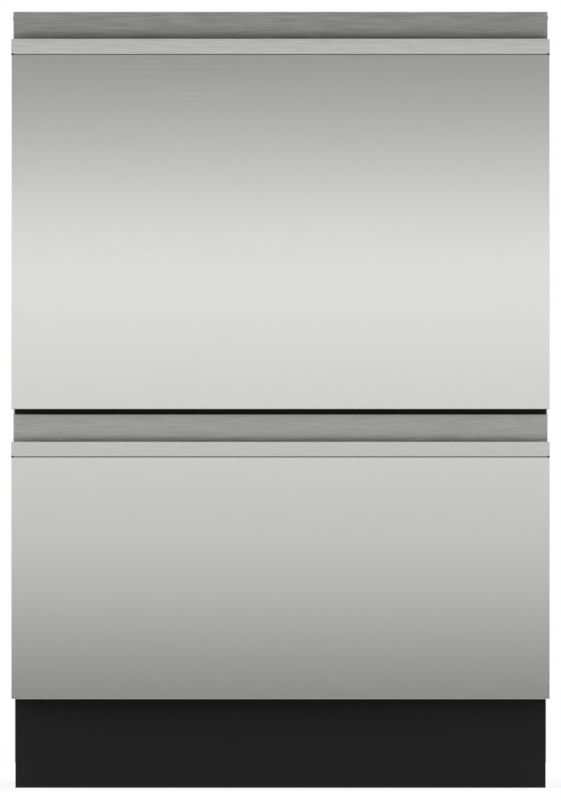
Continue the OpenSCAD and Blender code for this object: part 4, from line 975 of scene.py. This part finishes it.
# %% Spray arms
ARM_REACH, ARM_HALF, ARM_SWEEP = 205 * MM, 21 * MM, 5.5 * MM
for drawer in DRAWERS:
    low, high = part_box(f"{drawer}_spray_arm")
    blade = bmesh.new()
    thick = high.z - low.z - 3 * MM
    block(blade, (-ARM_REACH, -ARM_HALF, low.z), (ARM_REACH, ARM_HALF, low.z + thick))
    bmesh.ops.subdivide_edges(blade, edges=edges_along(blade, 0), cuts=25, use_grid_fill=True)
    bmesh.ops.subdivide_edges(blade, edges=edges_along(blade, 1), cuts=3, use_grid_fill=True)
    for vert in blade.verts:
        share = vert.co.x / ARM_REACH
        taper = 1 - 0.42 * abs(share) ** 1.4
        if abs(share) > 0.9:
            taper *= math.sqrt(max(1 - ((abs(share) - 0.9) / 0.1) ** 2 * 0.8, 0.05))
        crown = 1 - 0.16 * (vert.co.y / ARM_HALF) ** 2 - 0.10 * abs(share) ** 3
        vert.co.y = vert.co.y * taper + ARM_SWEEP * math.sin(math.pi * share)
        if vert.co.z > low.z + thick / 2:
            vert.co.z = low.z + thick * crown
    round_rims(blade, 2.4 * MM, 3, angle=0.9)
    bmesh.ops.translate(blade, verts=blade.verts, vec=(0, TUB_Y, 0))
    bm = bmesh.new()
    join(bm, blade)
    for side in (-1, 1):
        for k in range(4):
            x = side * (60 + 40 * k) * MM
            y = TUB_Y + ARM_SWEEP * math.sin(math.pi * x / ARM_REACH) + (-3 if k % 2 else 3) * MM
            turned(bm, (x, y, low.z), (
                (0, 9.5), (1.5, 9.5), (1.5, 12.6), (2.6, 12.6), (4.6, 10.4), (4.6, 9), (0, 9),
            ), steps=20)
    turned(bm, (0, TUB_Y, low.z), (
        (9.3, 0), (24, 0), (24, 10), (22, 12), (15, 12.4), (13.5, 15), (0, 15), (0, 11.2), (9.3, 11.2),
        (9.3, 0),
    ), steps=56)
    around(bm, (0, TUB_Y, low.z), 12, lambda part: block(
        part, (12.6 * MM, -0.9 * MM, 11.8 * MM), (15 * MM, 0.9 * MM, 14.7 * MM), 0.3 * MM,
    ))
    piece(f"{drawer}_spray_blade", bm, arm_plastic, node=f"{drawer}_spray_arm", flat=False)
print("spray arms reach", round(ARM_REACH / MM), "mm")

# %% [markdown]
# ## Control housings
# The controls lie on the top edge of each drawer, hidden while it is shut: a black moulding with a glossy
# inlay, a small display window, indicator dots, and two round buttons in bezels. The inlay is one outline
# with the buttons' holes left out of it, filled and given a thickness.

# %% Control housings and buttons
BUTTON_R, BUTTON_X, SHELL = 7 * MM, 90 * MM, 2.5 * MM
for drawer in DRAWERS:
    low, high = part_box(f"{drawer}_control_housing")
    mid_y = (low.y + high.y) / 2
    bm = bmesh.new()
    deck = bmesh.new()
    outline(deck, (low.x, low.y, high.z - 2 * MM), (high.x, high.y, high.z), 3 * MM)
    for side in (-1, 1):
        hole(deck, (side * BUTTON_X, mid_y, high.z - 2 * MM), BUTTON_R + 0.3 * MM)
    cut_sheet(bm, deck, 2 * MM - 0.3 * MM)
    for x0, x1, y0 in (
        (low.x, high.x, high.y - SHELL), (low.x, low.x + SHELL, low.y), (high.x - SHELL, high.x, low.y),
    ):
        block(bm, (x0, y0, low.z), (x1, high.y, high.z - 0.3 * MM), 0.4 * MM)
    block(bm, low, (high.x, high.y, low.z + SHELL))
    for k in range(7):
        x = (k - 3) * 74 * MM
        block(bm, (x - MM, high.y - 4 * MM, low.z + MM), (x + MM, high.y + 0.3 * MM, high.z - 4 * MM))
    piece(f"{drawer}_control_moulding", bm, black_plastic, node=f"{drawer}_control_housing")
    bm, inlay = bmesh.new(), bmesh.new()
    outline(inlay, (low.x + 6 * MM, low.y + 2 * MM, high.z - 0.6 * MM),
            (high.x - 6 * MM, high.y - 2 * MM, high.z), 4 * MM)
    for side in (-1, 1):
        hole(inlay, (side * BUTTON_X, mid_y, high.z - 0.6 * MM), BUTTON_R + 2 * MM)
    cut_sheet(bm, inlay, 0.5 * MM)
    piece(f"{drawer}_gloss_inlay", bm, gloss_black, body=f"{drawer}_drawer")
    bm = bmesh.new()
    for side in (-1, 1):
        turned(bm, (side * BUTTON_X, mid_y, high.z), (
            (7.35, -0.9), (9.2, -0.9), (9.2, 0.05), (8.8, 0.3), (7.7, 0.3), (7.35, 0), (7.35, -0.9),
        ), steps=48)
    piece(f"{drawer}_button_bezels", bm, plated, body=f"{drawer}_drawer", flat=False)
    bm = bmesh.new()
    plate(bm, (-38 * MM, mid_y - 8 * MM, high.z - 0.3 * MM),
          (38 * MM, mid_y + 8 * MM, high.z + 0.05 * MM), 2 * MM)
    piece(f"{drawer}_display_window", bm, display, body=f"{drawer}_drawer")
    bm = bmesh.new()
    for k in range(5):
        turned(bm, ((136 + 18 * k) * MM, mid_y, high.z - 0.2 * MM), (
            (0, 0), (1.2, 0), (1.2, 0.26), (0, 0.28),
        ), steps=16)
    for k in range(3):
        block(bm, ((-200 + 18 * k) * MM, mid_y - 0.6 * MM, high.z - 0.2 * MM),
              ((-192 + 18 * k) * MM, mid_y + 0.6 * MM, high.z + 0.06 * MM))
    piece(f"{drawer}_indicator_marks", bm, white_plastic, body=f"{drawer}_drawer",
          flat=False)
    for side, node in ((-1, f"{drawer}_power_button"), (1, f"{drawer}_start_button")):
        button_low, button_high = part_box(node)
        tall = (button_high.z - button_low.z) / MM
        bm = bmesh.new()
        turned(bm, (side * BUTTON_X, mid_y, button_low.z), (
            (0, 0), (2.5, 0), (2.5, 8), (8.5, 8), (8.5, 9.9), (7, 9.9), (7, tall - 0.8), (6.6, tall - 0.2),
            (6.0, tall), (5.0, tall - 0.15), (0, tall - 0.55),
        ), steps=40)
        piece(f"{node}_cap", bm, gloss_black if side < 0 else arm_plastic, node=node, flat=False)
print("controls on", len(DRAWERS), "drawers")

# %% [markdown]
# ## Lids and seals
# A lid closes each tub. Small motors in the case lift it before the drawer can slide out. The moulding is
# stiffened by a grid of ribs: a slab is cut into fields, and each field is inset and pushed down.

# %% Lids, seals and actuators
for drawer in DRAWERS:
    low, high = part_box(f"{drawer}_lid")
    lug_low_z = low.z + 5 * MM
    lid_x = high.x - 5 * MM
    slab = bmesh.new()
    plate(slab, (-lid_x, low.y, low.z), (lid_x, high.y, high.z), 12 * MM, segments=6)
    cuts = [(((k / 3 - 1) * lid_x, 0, 0), (1, 0, 0)) for k in range(1, 6)]
    cuts += [((0, low.y + k * (high.y - low.y) / 5, 0), (0, 1, 0)) for k in range(1, 5)]
    for place, normal in cuts:
        everything = slab.verts[:] + slab.edges[:] + slab.faces[:]
        bmesh.ops.bisect_plane(slab, geom=everything, plane_co=place, plane_no=normal)
    fields = [face for face in slab.faces if face.normal.z > 0.99]
    bmesh.ops.inset_individual(slab, faces=fields, thickness=3 * MM, depth=0, use_even_offset=True)
    bmesh.ops.inset_individual(slab, faces=fields, thickness=1.2 * MM, depth=-7 * MM, use_even_offset=True)
    round_rims(slab, 0.7 * MM)
    bm = bmesh.new()
    join(bm, slab)
    for side in (-1, 1):
        plate(bm, (side * (lid_x - MM), 53 * MM, lug_low_z), (side * high.x, 67 * MM, lug_low_z + 3 * MM),
              1.5 * MM, round_off=0.4 * MM)
    lid = piece(f"{drawer}_ribbed_lid", bm, lid_plastic, node=f"{drawer}_lid")

    low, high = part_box(f"{drawer}_lid_seal")
    bm = bmesh.new()
    frame_ring(bm, low, high, 7 * MM, 14 * MM, 1.3 * MM)
    for inset in (1.4 * MM, 4.2 * MM):
        frame_ring(bm, (low.x + inset, low.y + inset, low.z - 0.25 * MM),
                   (high.x - inset, high.y - inset, low.z + 0.8 * MM), 1.4 * MM, 12 * MM)
    seal = piece(f"{drawer}_seal_profile", bm, seal_rubber, node=f"{drawer}_lid_seal", flat=False)

low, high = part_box("lid_actuators")
bm = bmesh.new()
for drawer in DRAWERS:
    z0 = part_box(f"{drawer}_lid")[0].z
    fork_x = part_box(f"{drawer}_lid")[1].x - 4.4 * MM
    for side in (-1, 1):
        face_x, axis = side * (high.x - 6 * MM), "-X" if side > 0 else "X"
        plate(bm, (side * high.x, 30 * MM, z0), (face_x, 94 * MM, z0 + 20 * MM), 4 * MM, axis=0, round_off=MM)
        plate(bm, (face_x + side * 0.1 * MM, 50 * MM, z0 - MM), (side * fork_x, 70 * MM, z0 + 4.7 * MM),
              1.2 * MM, axis=0, round_off=0.5 * MM)
        for y in (36 * MM, 88 * MM):
            screw_head(bm, (face_x, y, z0 + 10 * MM), 2.6 * MM, 0.6 * MM, axis)
actuators = piece("lid_lift_motors", bm, graphite, node="lid_actuators")
print(lid.name, seal.name, actuators.name)

# %% [markdown]
# ## Racks
# A rack is round wire, bent and welded and then dipped in nylon. Each floor wire turns up at both ends and
# becomes two uprights, three rails run round the walls, and rows of tines stand on the floor with round
# tips. The paths are a few points each, rounded at their corners and swept with a round section.

# %% Racks
WIRE_R, WELD = 2 * MM, 2.4 * MM
RACK_LIFT, TINE_H, TINE_PITCH, WIRE_PITCH = 46 * MM, 62 * MM, 30 * MM, 38 * MM
RAIL_CORNER = 14 * MM
columns = int((2 * RACK_X + 0.1 * MM) / WIRE_PITCH)
rows = int((RACK_BACK - RACK_FRONT + 0.1 * MM) / (1.6 * WIRE_PITCH))
TINES = int((RACK_BACK - RACK_FRONT - 70 * MM + 0.1 * MM) / TINE_PITCH)


def wire_at(k):
    """Where floor wire k lies, counted from the left."""
    return -RACK_X + k * 2 * RACK_X / columns


ROW_GAP = (RACK_BACK - RACK_FRONT) / rows
for drawer in DRAWERS:
    z = floor_of[drawer] + RACK_LIFT
    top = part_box(f"{drawer}_rack")[1].z - WELD
    tip_z = top + WELD - WIRE_R
    bm = bmesh.new()
    rails = []
    for height in (z, (z + top) / 2, top):
        loop = [
            (0, RACK_FRONT), (RACK_X, RACK_FRONT), (RACK_X, RACK_BACK), (-RACK_X, RACK_BACK),
            (-RACK_X, RACK_FRONT), (0, RACK_FRONT),
        ]
        rails.append(bend([(x, y, height) for x, y in loop], RAIL_CORNER, 6)[:-1])
    wire(bm, rails, WIRE_R, closed=True)
    hoops, straight, tips = [], [], []
    for k in range(1, columns):
        x = wire_at(k)
        if k % 2:
            hoops.append(bend([(x, RACK_FRONT - WELD, tip_z), (x, RACK_FRONT - WELD, z + WELD),
                               (x, RACK_BACK + WELD, z + WELD), (x, RACK_BACK + WELD, tip_z)], 6 * MM))
        else:
            straight.append([(x, RACK_FRONT, z + WELD), (x, RACK_BACK, z + WELD)])
    for k in range(1, rows):
        y = RACK_FRONT + k * ROW_GAP
        hoops.append(bend([(-RACK_X - WELD, y, tip_z), (-RACK_X - WELD, y, z), (RACK_X + WELD, y, z),
                           (RACK_X + WELD, y, tip_z)], 6 * MM))
    for x in (wire_at(5.5), -RACK_X + FOOT_IN, RACK_X - FOOT_IN):
        straight.append([(x, RACK_FRONT, z + WELD), (x, RACK_BACK, z + WELD)])
    for x in (wire_at(columns - 5.5), wire_at(columns - 3.5)):
        straight.append([(x, RACK_FRONT + 10 * MM, z + 3.75 * MM), (x, RACK_BACK - 10 * MM, z + 3.75 * MM)])
        for k in range(TINES):
            y = RACK_FRONT + 40 * MM + k * TINE_PITCH
            straight.append([(x, y, z + 3.75 * MM), (x, y, z + TINE_H - WIRE_R)])
            tips.append((x, y, z + TINE_H - WIRE_R))
    wire(bm, hoops + straight, WIRE_R)
    rounded_tips(bm, tips, WIRE_R)
    rounded_tips(bm, [end for path in hoops for end in (path[0], path[-1])], WIRE_R)
    fold_y0 = RACK_FRONT + 30 * MM
    fold_len = (TINES - 0.5) * TINE_PITCH
    for y in (fold_y0 - 2 * WIRE_R, fold_y0 + fold_len - 8 * MM + 2 * WIRE_R):
        x = wire_at(5.5)
        for side in (-1, 1):
            block(bm, (x + side * 2.15 * MM, y, z + WIRE_R), (x + side * 6 * MM, y + 8 * MM, z + 11.5 * MM),
                  0.6 * MM)
        block(bm, (x - 6 * MM, y, z + WIRE_R), (x + 6 * MM, y + 8 * MM, z + 4.5 * MM), 0.6 * MM)
    if drawer == "upper":
        shelf_low, shelf_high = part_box("cup_shelf")
        shelf_z = (shelf_low.z + shelf_high.z) / 2
        bar_x = RACK_X - 10 * MM
        for k in (1, rows - 1):
            y = RACK_FRONT + k * ROW_GAP - 4 * MM
            block(bm, (bar_x + 2.2 * MM, y, shelf_z - 4.5 * MM),
                  (RACK_X + WELD, y + 8 * MM, shelf_z + 4.5 * MM), 0.6 * MM)
            for side in (-1, 1):
                block(bm, (bar_x - 4 * MM, y, shelf_z + side * 2.15 * MM),
                      (bar_x + 3 * MM, y + 8 * MM, shelf_z + side * 4.5 * MM), 0.5 * MM)
    for x in (-RACK_X + FOOT_IN, RACK_X - FOOT_IN):
        for y in (RACK_FRONT + FOOT_IN, RACK_BACK - FOOT_IN):
            turned(bm, (x, y, floor_of[drawer] + 22 * MM), (
                (0, 0), (5, 0), (6, 1.2), (6, 20), (4, 24.4), (0, 24.4),
            ), steps=24)
    rack = piece(f"{drawer}_wire_rack", bm, wire_coat, node=f"{drawer}_rack", weld=False, flat=False)

    bm = bmesh.new()
    x, bar_z = wire_at(5.5), z + 3.4 * WIRE_R
    bars, tips = [[(x, fold_y0, bar_z), (x, fold_y0 + fold_len, bar_z)]], []
    for k in range(TINES - 1):
        y = fold_y0 + (k + 0.75) * TINE_PITCH
        bars.append([(x, y, bar_z), (x, y, bar_z + TINE_H - WIRE_R)])
        tips.append((x, y, bar_z + TINE_H - WIRE_R))
    wire(bm, bars, WIRE_R)
    rounded_tips(bm, tips, WIRE_R)
    tines = piece(f"{drawer}_folding_tines", bm, wire_coat, node=f"{drawer}_tine_row", weld=False, flat=False)
    print(rack.name, "has", columns - 1, "by", rows - 1, "floor wires and", 2 * TINES, "fixed tines")

# %% Cup shelf
low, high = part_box("cup_shelf")
z = (low.z + high.z) / 2
bar_x = high.x - WIRE_R
bm = bmesh.new()
wire(bm, [[(bar_x, low.y, z), (bar_x, high.y, z)]], WIRE_R)
edge_x, y0, y1 = low.x + WIRE_R, low.y + 6 * MM, high.y - 6 * MM
hoop = bend([(bar_x, y0, z), (edge_x, y0, z), (edge_x, y1, z), (bar_x, y1, z)], 12 * MM, 5)
bars_y = [y0 + k * (y1 - y0) / 8 for k in range(1, 8)]
wire(bm, [hoop, *([(edge_x, y, z), (bar_x, y, z)] for y in bars_y)], WIRE_R)
rounded_tips(bm, [(bar_x, low.y + WIRE_R, z), (bar_x, high.y - WIRE_R, z)], WIRE_R)
shelf = piece("cup_shelf_wires", bm, wire_coat, node="cup_shelf", weld=False, flat=False)
print(shelf.name, "is", round((high.y - low.y) / MM), "mm long")

# %% [markdown]
# ## Cutlery basket
# The basket has three cells with openwork walls. Each wall is a grid whose squares are inset, and the inner
# squares deleted, so that a lattice is left; it then gets its thickness. A plain rim closes the top.

# %% Cutlery basket
BASKET_T = 2.5 * MM
low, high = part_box("cutlery_basket")


def lattice(bm, corner, along, up, steps, thickness):
    """An openwork wall from a corner, spanned by two vectors."""
    part = bmesh.new()
    along, up = Vector(along), Vector(up)
    bmesh.ops.create_grid(part, x_segments=steps[0], y_segments=steps[1], size=0.5,
                          matrix=Matrix.Translation((0.5, 0.5, 0)))
    frame_matrix = Matrix((along, up, along.cross(up).normalized())).transposed().to_4x4()
    frame_matrix.translation = Vector(corner)
    bmesh.ops.transform(part, matrix=frame_matrix, verts=part.verts)
    bars = set(bmesh.ops.inset_individual(
        part, faces=part.faces[:], thickness=1.3 * MM, use_even_offset=True,
    )["faces"])
    panes = [face for face in part.faces if face not in bars]
    bmesh.ops.delete(part, geom=panes, context="FACES")
    bmesh.ops.solidify(part, geom=part.faces[:], thickness=thickness)
    join(bm, part)


size = high - low
cell = (size.y - BASKET_T) / 3
bm = bmesh.new()
wall_z, wall_up = low.z + 12 * MM, (0, 0, size.z - 22 * MM)
for x, sign in ((low.x, -1), (high.x, 1)):
    lattice(bm, (x, low.y, wall_z), (0, size.y, 0), wall_up, (26, 10), sign * 2 * MM)
for k in range(4):
    y = low.y + k * cell + (0 if k else BASKET_T)
    lattice(bm, (low.x, y, wall_z), (size.x, 0, 0), wall_up, (8, 10), (2 if k else -2) * MM)
lattice(bm, (low.x, low.y, low.z), (size.x, 0, 0), (0, size.y, 0), (8, 26), -2.2 * MM)
for z0, z1 in ((low.z, low.z + 13 * MM), (high.z - 11 * MM, high.z)):
    frame_ring(bm, (low.x, low.y, z0), (high.x, high.y, z1), BASKET_T, 5 * MM, 0.6 * MM)
    for k in (1, 2):
        y = low.y + k * cell
        block(bm, (low.x + MM, y, z0), (high.x - MM, y + BASKET_T, z1), 0.6 * MM)
basket = piece("openwork_basket", bm, filter_plastic, node="cutlery_basket", flat=False)
print(basket.name, "has", len(basket.data.polygons), "faces")

# %% [markdown]
# ## Dispensers
# The dispenser sits on the front wall of each tub. A door on a hinge closes the detergent cup, and a round
# cap with a grip closes the rinse aid filler. The body is one outline less the cup and the filler, raised to
# its depth and stood up. The door is a thin moulding with a thumb tab and a raised rim.

# %% Dispenser bodies
CUP_W, CUP_H, CUP_X = 66 * MM, 28 * MM, -20 * MM
DISPENSER_D, DISPENSER_BACK = 17 * MM, 2 * MM
PIN_R, FILLER_X, FILLER_R = 1.15 * MM, 48 * MM, 11 * MM
for drawer in DRAWERS:
    low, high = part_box(f"{drawer}_dispenser")
    face_y = low.y + DISPENSER_D
    cup_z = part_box(f"{drawer}_dispenser_door")[0].z + PIN_R + 4 * MM
    sheet = bmesh.new()
    outline(sheet, (low.x, low.z, 0), (high.x, high.z, 0), 6 * MM)
    outline(sheet, (CUP_X - CUP_W / 2, cup_z, 0), (CUP_X + CUP_W / 2, cup_z + CUP_H, 0), 4 * MM)
    hole(sheet, (FILLER_X, cup_z + CUP_H / 2, 0), FILLER_R)
    part = bmesh.new()
    cut_sheet(part, sheet, DISPENSER_D - DISPENSER_BACK)
    round_rims(part, 0.7 * MM)
    stood = Matrix.Translation((0, face_y, 0)) @ Matrix.Rotation(math.radians(90), 4, "X")
    bmesh.ops.transform(part, matrix=stood, verts=part.verts)
    bm = bmesh.new()
    join(bm, part)
    plate(bm, (low.x, low.y, low.z), (high.x, low.y + DISPENSER_BACK + 0.5 * MM, high.z), 6 * MM, axis=1)
    for side in (-1, 1):
        x = CUP_X + side * (CUP_W / 2 + 5 * MM) - 1.5 * MM
        turned(bm, (x, face_y + 1.6 * MM, cup_z - 4 * MM), (
            (1.2, 0), (2.6, 0), (3, 0.4), (3, 2.6), (2.6, 3), (1.2, 3), (1.2, 0),
        ), axis="X", steps=28)
    body = piece(f"{drawer}_dispenser_body", bm, arm_plastic, node=f"{drawer}_dispenser", flat=False)
print(body.name, "has a cup", round(CUP_W / MM), "by", round(CUP_H / MM), "mm")

# %% Dispenser doors and caps
for drawer in DRAWERS:
    low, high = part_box(f"{drawer}_dispenser_door")
    door_low, door_high = low.x + 5 * MM, high.x - 5 * MM
    pin_z = low.z + PIN_R
    pin_y = (low.y + high.y) / 2
    bm = bmesh.new()
    plate(bm, (door_low, low.y, pin_z), (door_high, high.y - 0.8 * MM, high.z), 4 * MM, axis=1,
          round_off=0.5 * MM)
    rim = bmesh.new()
    frame_ring(rim, (door_low, pin_z, 0), (door_high, high.z, MM), 2.2 * MM, 4 * MM, 0.35 * MM)
    stood = Matrix.Translation((0, high.y, 0)) @ Matrix.Rotation(math.radians(90), 4, "X")
    bmesh.ops.transform(rim, matrix=stood, verts=rim.verts)
    join(bm, rim)
    plate(bm, (CUP_X - 6 * MM, high.y - 1.4 * MM, high.z - 9 * MM), (CUP_X + 6 * MM, high.y, high.z - 4 * MM),
          2 * MM, axis=1, round_off=0.4 * MM)
    drum(bm, (low.x, pin_y, pin_z), PIN_R, high.x - low.x, "X", sides=20)
    door = piece(f"{drawer}_detergent_flap", bm, graphite, node=f"{drawer}_dispenser_door", flat=False)

    body_low, body_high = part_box(f"{drawer}_dispenser")
    face_y = body_low.y + DISPENSER_D
    cup_mid = pin_z + 4 * MM + CUP_H / 2
    bm = bmesh.new()
    turned(bm, (FILLER_X, face_y, cup_mid), (
        (0, -11), (10.6, -11), (10.6, 0.2), (13.5, 0.4), (13.5, 1.6), (12.6, 2.4), (0, 2.6),
    ), axis="Y", steps=40)
    plate(bm, (FILLER_X - 11.5 * MM, face_y + 2 * MM, cup_mid - 2.5 * MM),
          (FILLER_X + 11.5 * MM, face_y + 6.4 * MM, cup_mid + 2.5 * MM), 1.8 * MM, round_off=0.8 * MM)
    for x in (-66 * MM, 66 * MM):
        screw_head(bm, (x, face_y, body_high.z - 8 * MM), 3 * MM, MM, "Y")
    cap = piece(f"{drawer}_rinse_aid_cap", bm, graphite, body=f"{drawer}_drawer",
                flat=False)
print(door.name, cap.name)

# %% [markdown]
# ## Studio
# Steel has no colour of its own to show, only what it mirrors. A tall soft card stands in front of the
# fronts, unseen by the camera, and grows brighter from the floor up to a little above the middle and then
# fades, which paints the soft bands that the photograph has. Two more cards and an overhead lamp light
# the sides and the inside of an open drawer. The world is white wherever it is seen or mirrored.

# %% Front card
CARD_DISTANCE, CARD_HEIGHT, CARD_HALF, CARD_THICK = 1.0, 1.7, 3.0, 0.01
CARD_STOPS = (  # height in metres, brightness
    (0.0, 0.19), (0.13, 0.41), (0.24, 0.81), (0.36, 0.865), (0.48, 0.955), (0.60, 1.33), (0.70, 0.735),
    (0.84, 0.315), (1.2, 0.30), (1.7, 0.30),
)


def stage_piece(name, bm, look, seen=True):
    """Makes an object of the studio, which the camera doesn't see unless asked."""
    made = as_object(name, bm)
    made.data.materials.append(look)
    made.visible_camera = made.visible_shadow = seen
    return made


def new_look(name):
    """A new material with its nodes and links."""
    look = bpy.data.materials.new(name)
    look.use_nodes = True
    return look, look.node_tree.nodes, look.node_tree.links


def maths(nodes, operation):
    """A Math node."""
    node = nodes.new("ShaderNodeMath")
    node.operation = operation
    return node


glow, nodes, links = new_look("front_card")
nodes.clear()
emission, output = nodes.new("ShaderNodeEmission"), nodes.new("ShaderNodeOutputMaterial")
coordinates, split = nodes.new("ShaderNodeTexCoord"), nodes.new("ShaderNodeSeparateXYZ")
scale, ramp = maths(nodes, "DIVIDE"), nodes.new("ShaderNodeValToRGB")
scale.inputs[1].default_value = CARD_HEIGHT
ramp.color_ramp.interpolation = "EASE"
stops = ramp.color_ramp.elements
for k, (height, bright) in enumerate(CARD_STOPS):
    stop = stops[k] if k < 2 else stops.new(height / CARD_HEIGHT)
    stop.position = height / CARD_HEIGHT
    stop.color = (bright, bright, bright * 0.995, 1)
links.new(coordinates.outputs["Object"], split.inputs["Vector"])
links.new(split.outputs["Z"], scale.inputs[0])
links.new(scale.outputs["Value"], ramp.inputs["Fac"])
links.new(ramp.outputs["Color"], emission.inputs["Color"])
links.new(emission.outputs["Emission"], output.inputs["Surface"])
card_y = FRONT_Y - CARD_DISTANCE
bm = bmesh.new()
block(bm, (-CARD_HALF, card_y - CARD_THICK, 0), (CARD_HALF, card_y, CARD_HEIGHT))
stage_piece("front_card", bm, glow, seen=False)
print("front card with", len(stops), "stops")

# %% Dark mat
# The mat lies on the floor in front of the machine, unseen by the camera, so that the steel's foot and the
# black toe kick mirror something dark.
MAT_HALF, MAT_LOW, MAT_HIGH = 2.5, 0.5 * MM, MM
felt, nodes, links = new_look("dark_felt")
fill_in(nodes["Principled BSDF"], Base_Color=(0.05, 0.05, 0.05, 1), Roughness=1.0, Specular_IOR_Level=0.0)
bm = bmesh.new()
block(bm, (-MAT_HALF, card_y - 0.4, MAT_LOW), (MAT_HALF, FRONT_Y - 0.18, MAT_HIGH))
mat = stage_piece("dark_mat", bm, felt, seen=False)
mat.visible_diffuse = False
print("mat in front of the machine")


# %% Lamps, floor and world
# The floor is a pale matt surface that turns to plain white with the distance, so that it keeps the shadow
# near the object and has no edge far away.
def soft_lamp(name, place, target, size, power, glossy=True):
    """A large soft lamp aimed at a point."""
    data = bpy.data.lights.new(name, "AREA")
    data.shape = "RECTANGLE"
    data.size, data.size_y = size
    data.energy = power
    lamp = bpy.data.objects.new(name, data)
    lamp.location = place
    lamp.rotation_euler = (Vector(target) - Vector(place)).to_track_quat("-Z", "Y").to_euler()
    lamp.visible_camera, lamp.visible_glossy = False, glossy
    bpy.context.scene.collection.objects.link(lamp)


def seen_or_mirrored(nodes, links):
    """1 where a ray comes from the camera, a mirror or glass, 0 for the light that falls on the object."""
    path = nodes.new("ShaderNodeLightPath")
    value = path.outputs["Is Camera Ray"]
    for name in ("Is Glossy Ray", "Is Transmission Ray"):
        larger = maths(nodes, "MAXIMUM")
        links.new(value, larger.inputs[0])
        links.new(path.outputs[name], larger.inputs[1])
        value = larger.outputs["Value"]
    return value


def mixed(nodes, links, share, first, second, output):
    """Mixes two shaders by a share and sends them to the output."""
    mix = nodes.new("ShaderNodeMixShader")
    for k, socket in enumerate((share, first, second)):
        links.new(socket, mix.inputs[k])
    links.new(mix.outputs["Shader"], nodes[output].inputs["Surface"])


soft_lamp("overhead", (0, -0.3, 2.6), (0, 0, 0.5), (2.4, 2.0), 34, glossy=False)
soft_lamp("left_window", (-2.6, -0.6, 1.6), (0, 0, 0.4), (1.6, 2.0), 26)
soft_lamp("right_window", (2.6, 0.6, 1.6), (0, 0, 0.4), (1.6, 2.0), 20)
soft_lamp("back_window", (0.6, 3.0, 1.6), (0, 0, 0.4), (2.0, 1.6), 22)

FLOOR_HALF = 300
pale, nodes, links = new_look("pale_floor")
shader = fill_in(
    nodes["Principled BSDF"], Base_Color=(0.95, 0.95, 0.95, 1), Roughness=0.9, Specular_IOR_Level=0.0,
)
coordinates, away = nodes.new("ShaderNodeTexCoord"), nodes.new("ShaderNodeVectorMath")
away.operation = "LENGTH"
whiter = fill_in(nodes.new("ShaderNodeMapRange"), From_Min=1.4, From_Max=3.6, To_Min=0.8, To_Max=1.0)
share, white = maths(nodes, "MULTIPLY"), nodes.new("ShaderNodeEmission")
links.new(coordinates.outputs["Object"], away.inputs[0])
links.new(away.outputs["Value"], whiter.inputs["Value"])
links.new(whiter.outputs["Result"], share.inputs[0])
links.new(seen_or_mirrored(nodes, links), share.inputs[1])
mixed(nodes, links, share.outputs["Value"], shader.outputs["BSDF"], white.outputs["Emission"],
      "Material Output")
bm = bmesh.new()
bmesh.ops.create_grid(bm, x_segments=1, y_segments=1, size=FLOOR_HALF)
stage_piece("floor", bm, pale)

world = bpy.data.worlds.new("studio")
bpy.context.scene.world = world
world.use_nodes = True
nodes, links = world.node_tree.nodes, world.node_tree.links
light = fill_in(nodes["Background"], Color=(1, 1, 1, 1), Strength=0.42)
backdrop = fill_in(nodes.new("ShaderNodeBackground"), Color=(1, 1, 1, 1), Strength=1.0)
mixed(nodes, links, seen_or_mirrored(nodes, links), light.outputs["Background"],
      backdrop.outputs["Background"], "World Output")
bpy.context.scene.view_settings.view_transform = "Standard"
print("lamps, floor and world are set")

# %% [markdown]
# ## Finishes of the pieces that keep their shape
# Some nodes of the engineering model already have the right shape, such as the folded rails. They only
# take a finish.

# %% Finishes of the kept nodes
LOOK_OF_SLOT = {
    "brushed_stainless": panel_steel, "zinc_steel": zinc, "screw_steel": plated, "black_paint": black_paint,
    "black_gloss": gloss_black, "black_plastic": black_plastic, "graphite_plastic": graphite,
    "filter_plastic": filter_plastic, "tub_plastic": tub_plastic, "lid_plastic": lid_plastic,
    "arm_plastic": arm_plastic, "white_plastic": white_plastic, "coated_wire": wire_coat,
    "seal_rubber": seal_rubber,
}
RAILS = ("runner_outer_rails", "lower_runner_slides", "upper_runner_slides", "lower_tub_rails", "upper_tub_rails")
for name, made in frame["nodes"].items():
    made.data.materials.clear()
    made.data.materials.append(rail_steel if name in RAILS else LOOK_OF_SLOT[slot_of[name]])
print("finishes on", len(frame["nodes"]), "nodes")

# %% Update the view layer
bpy.context.view_layer.update()
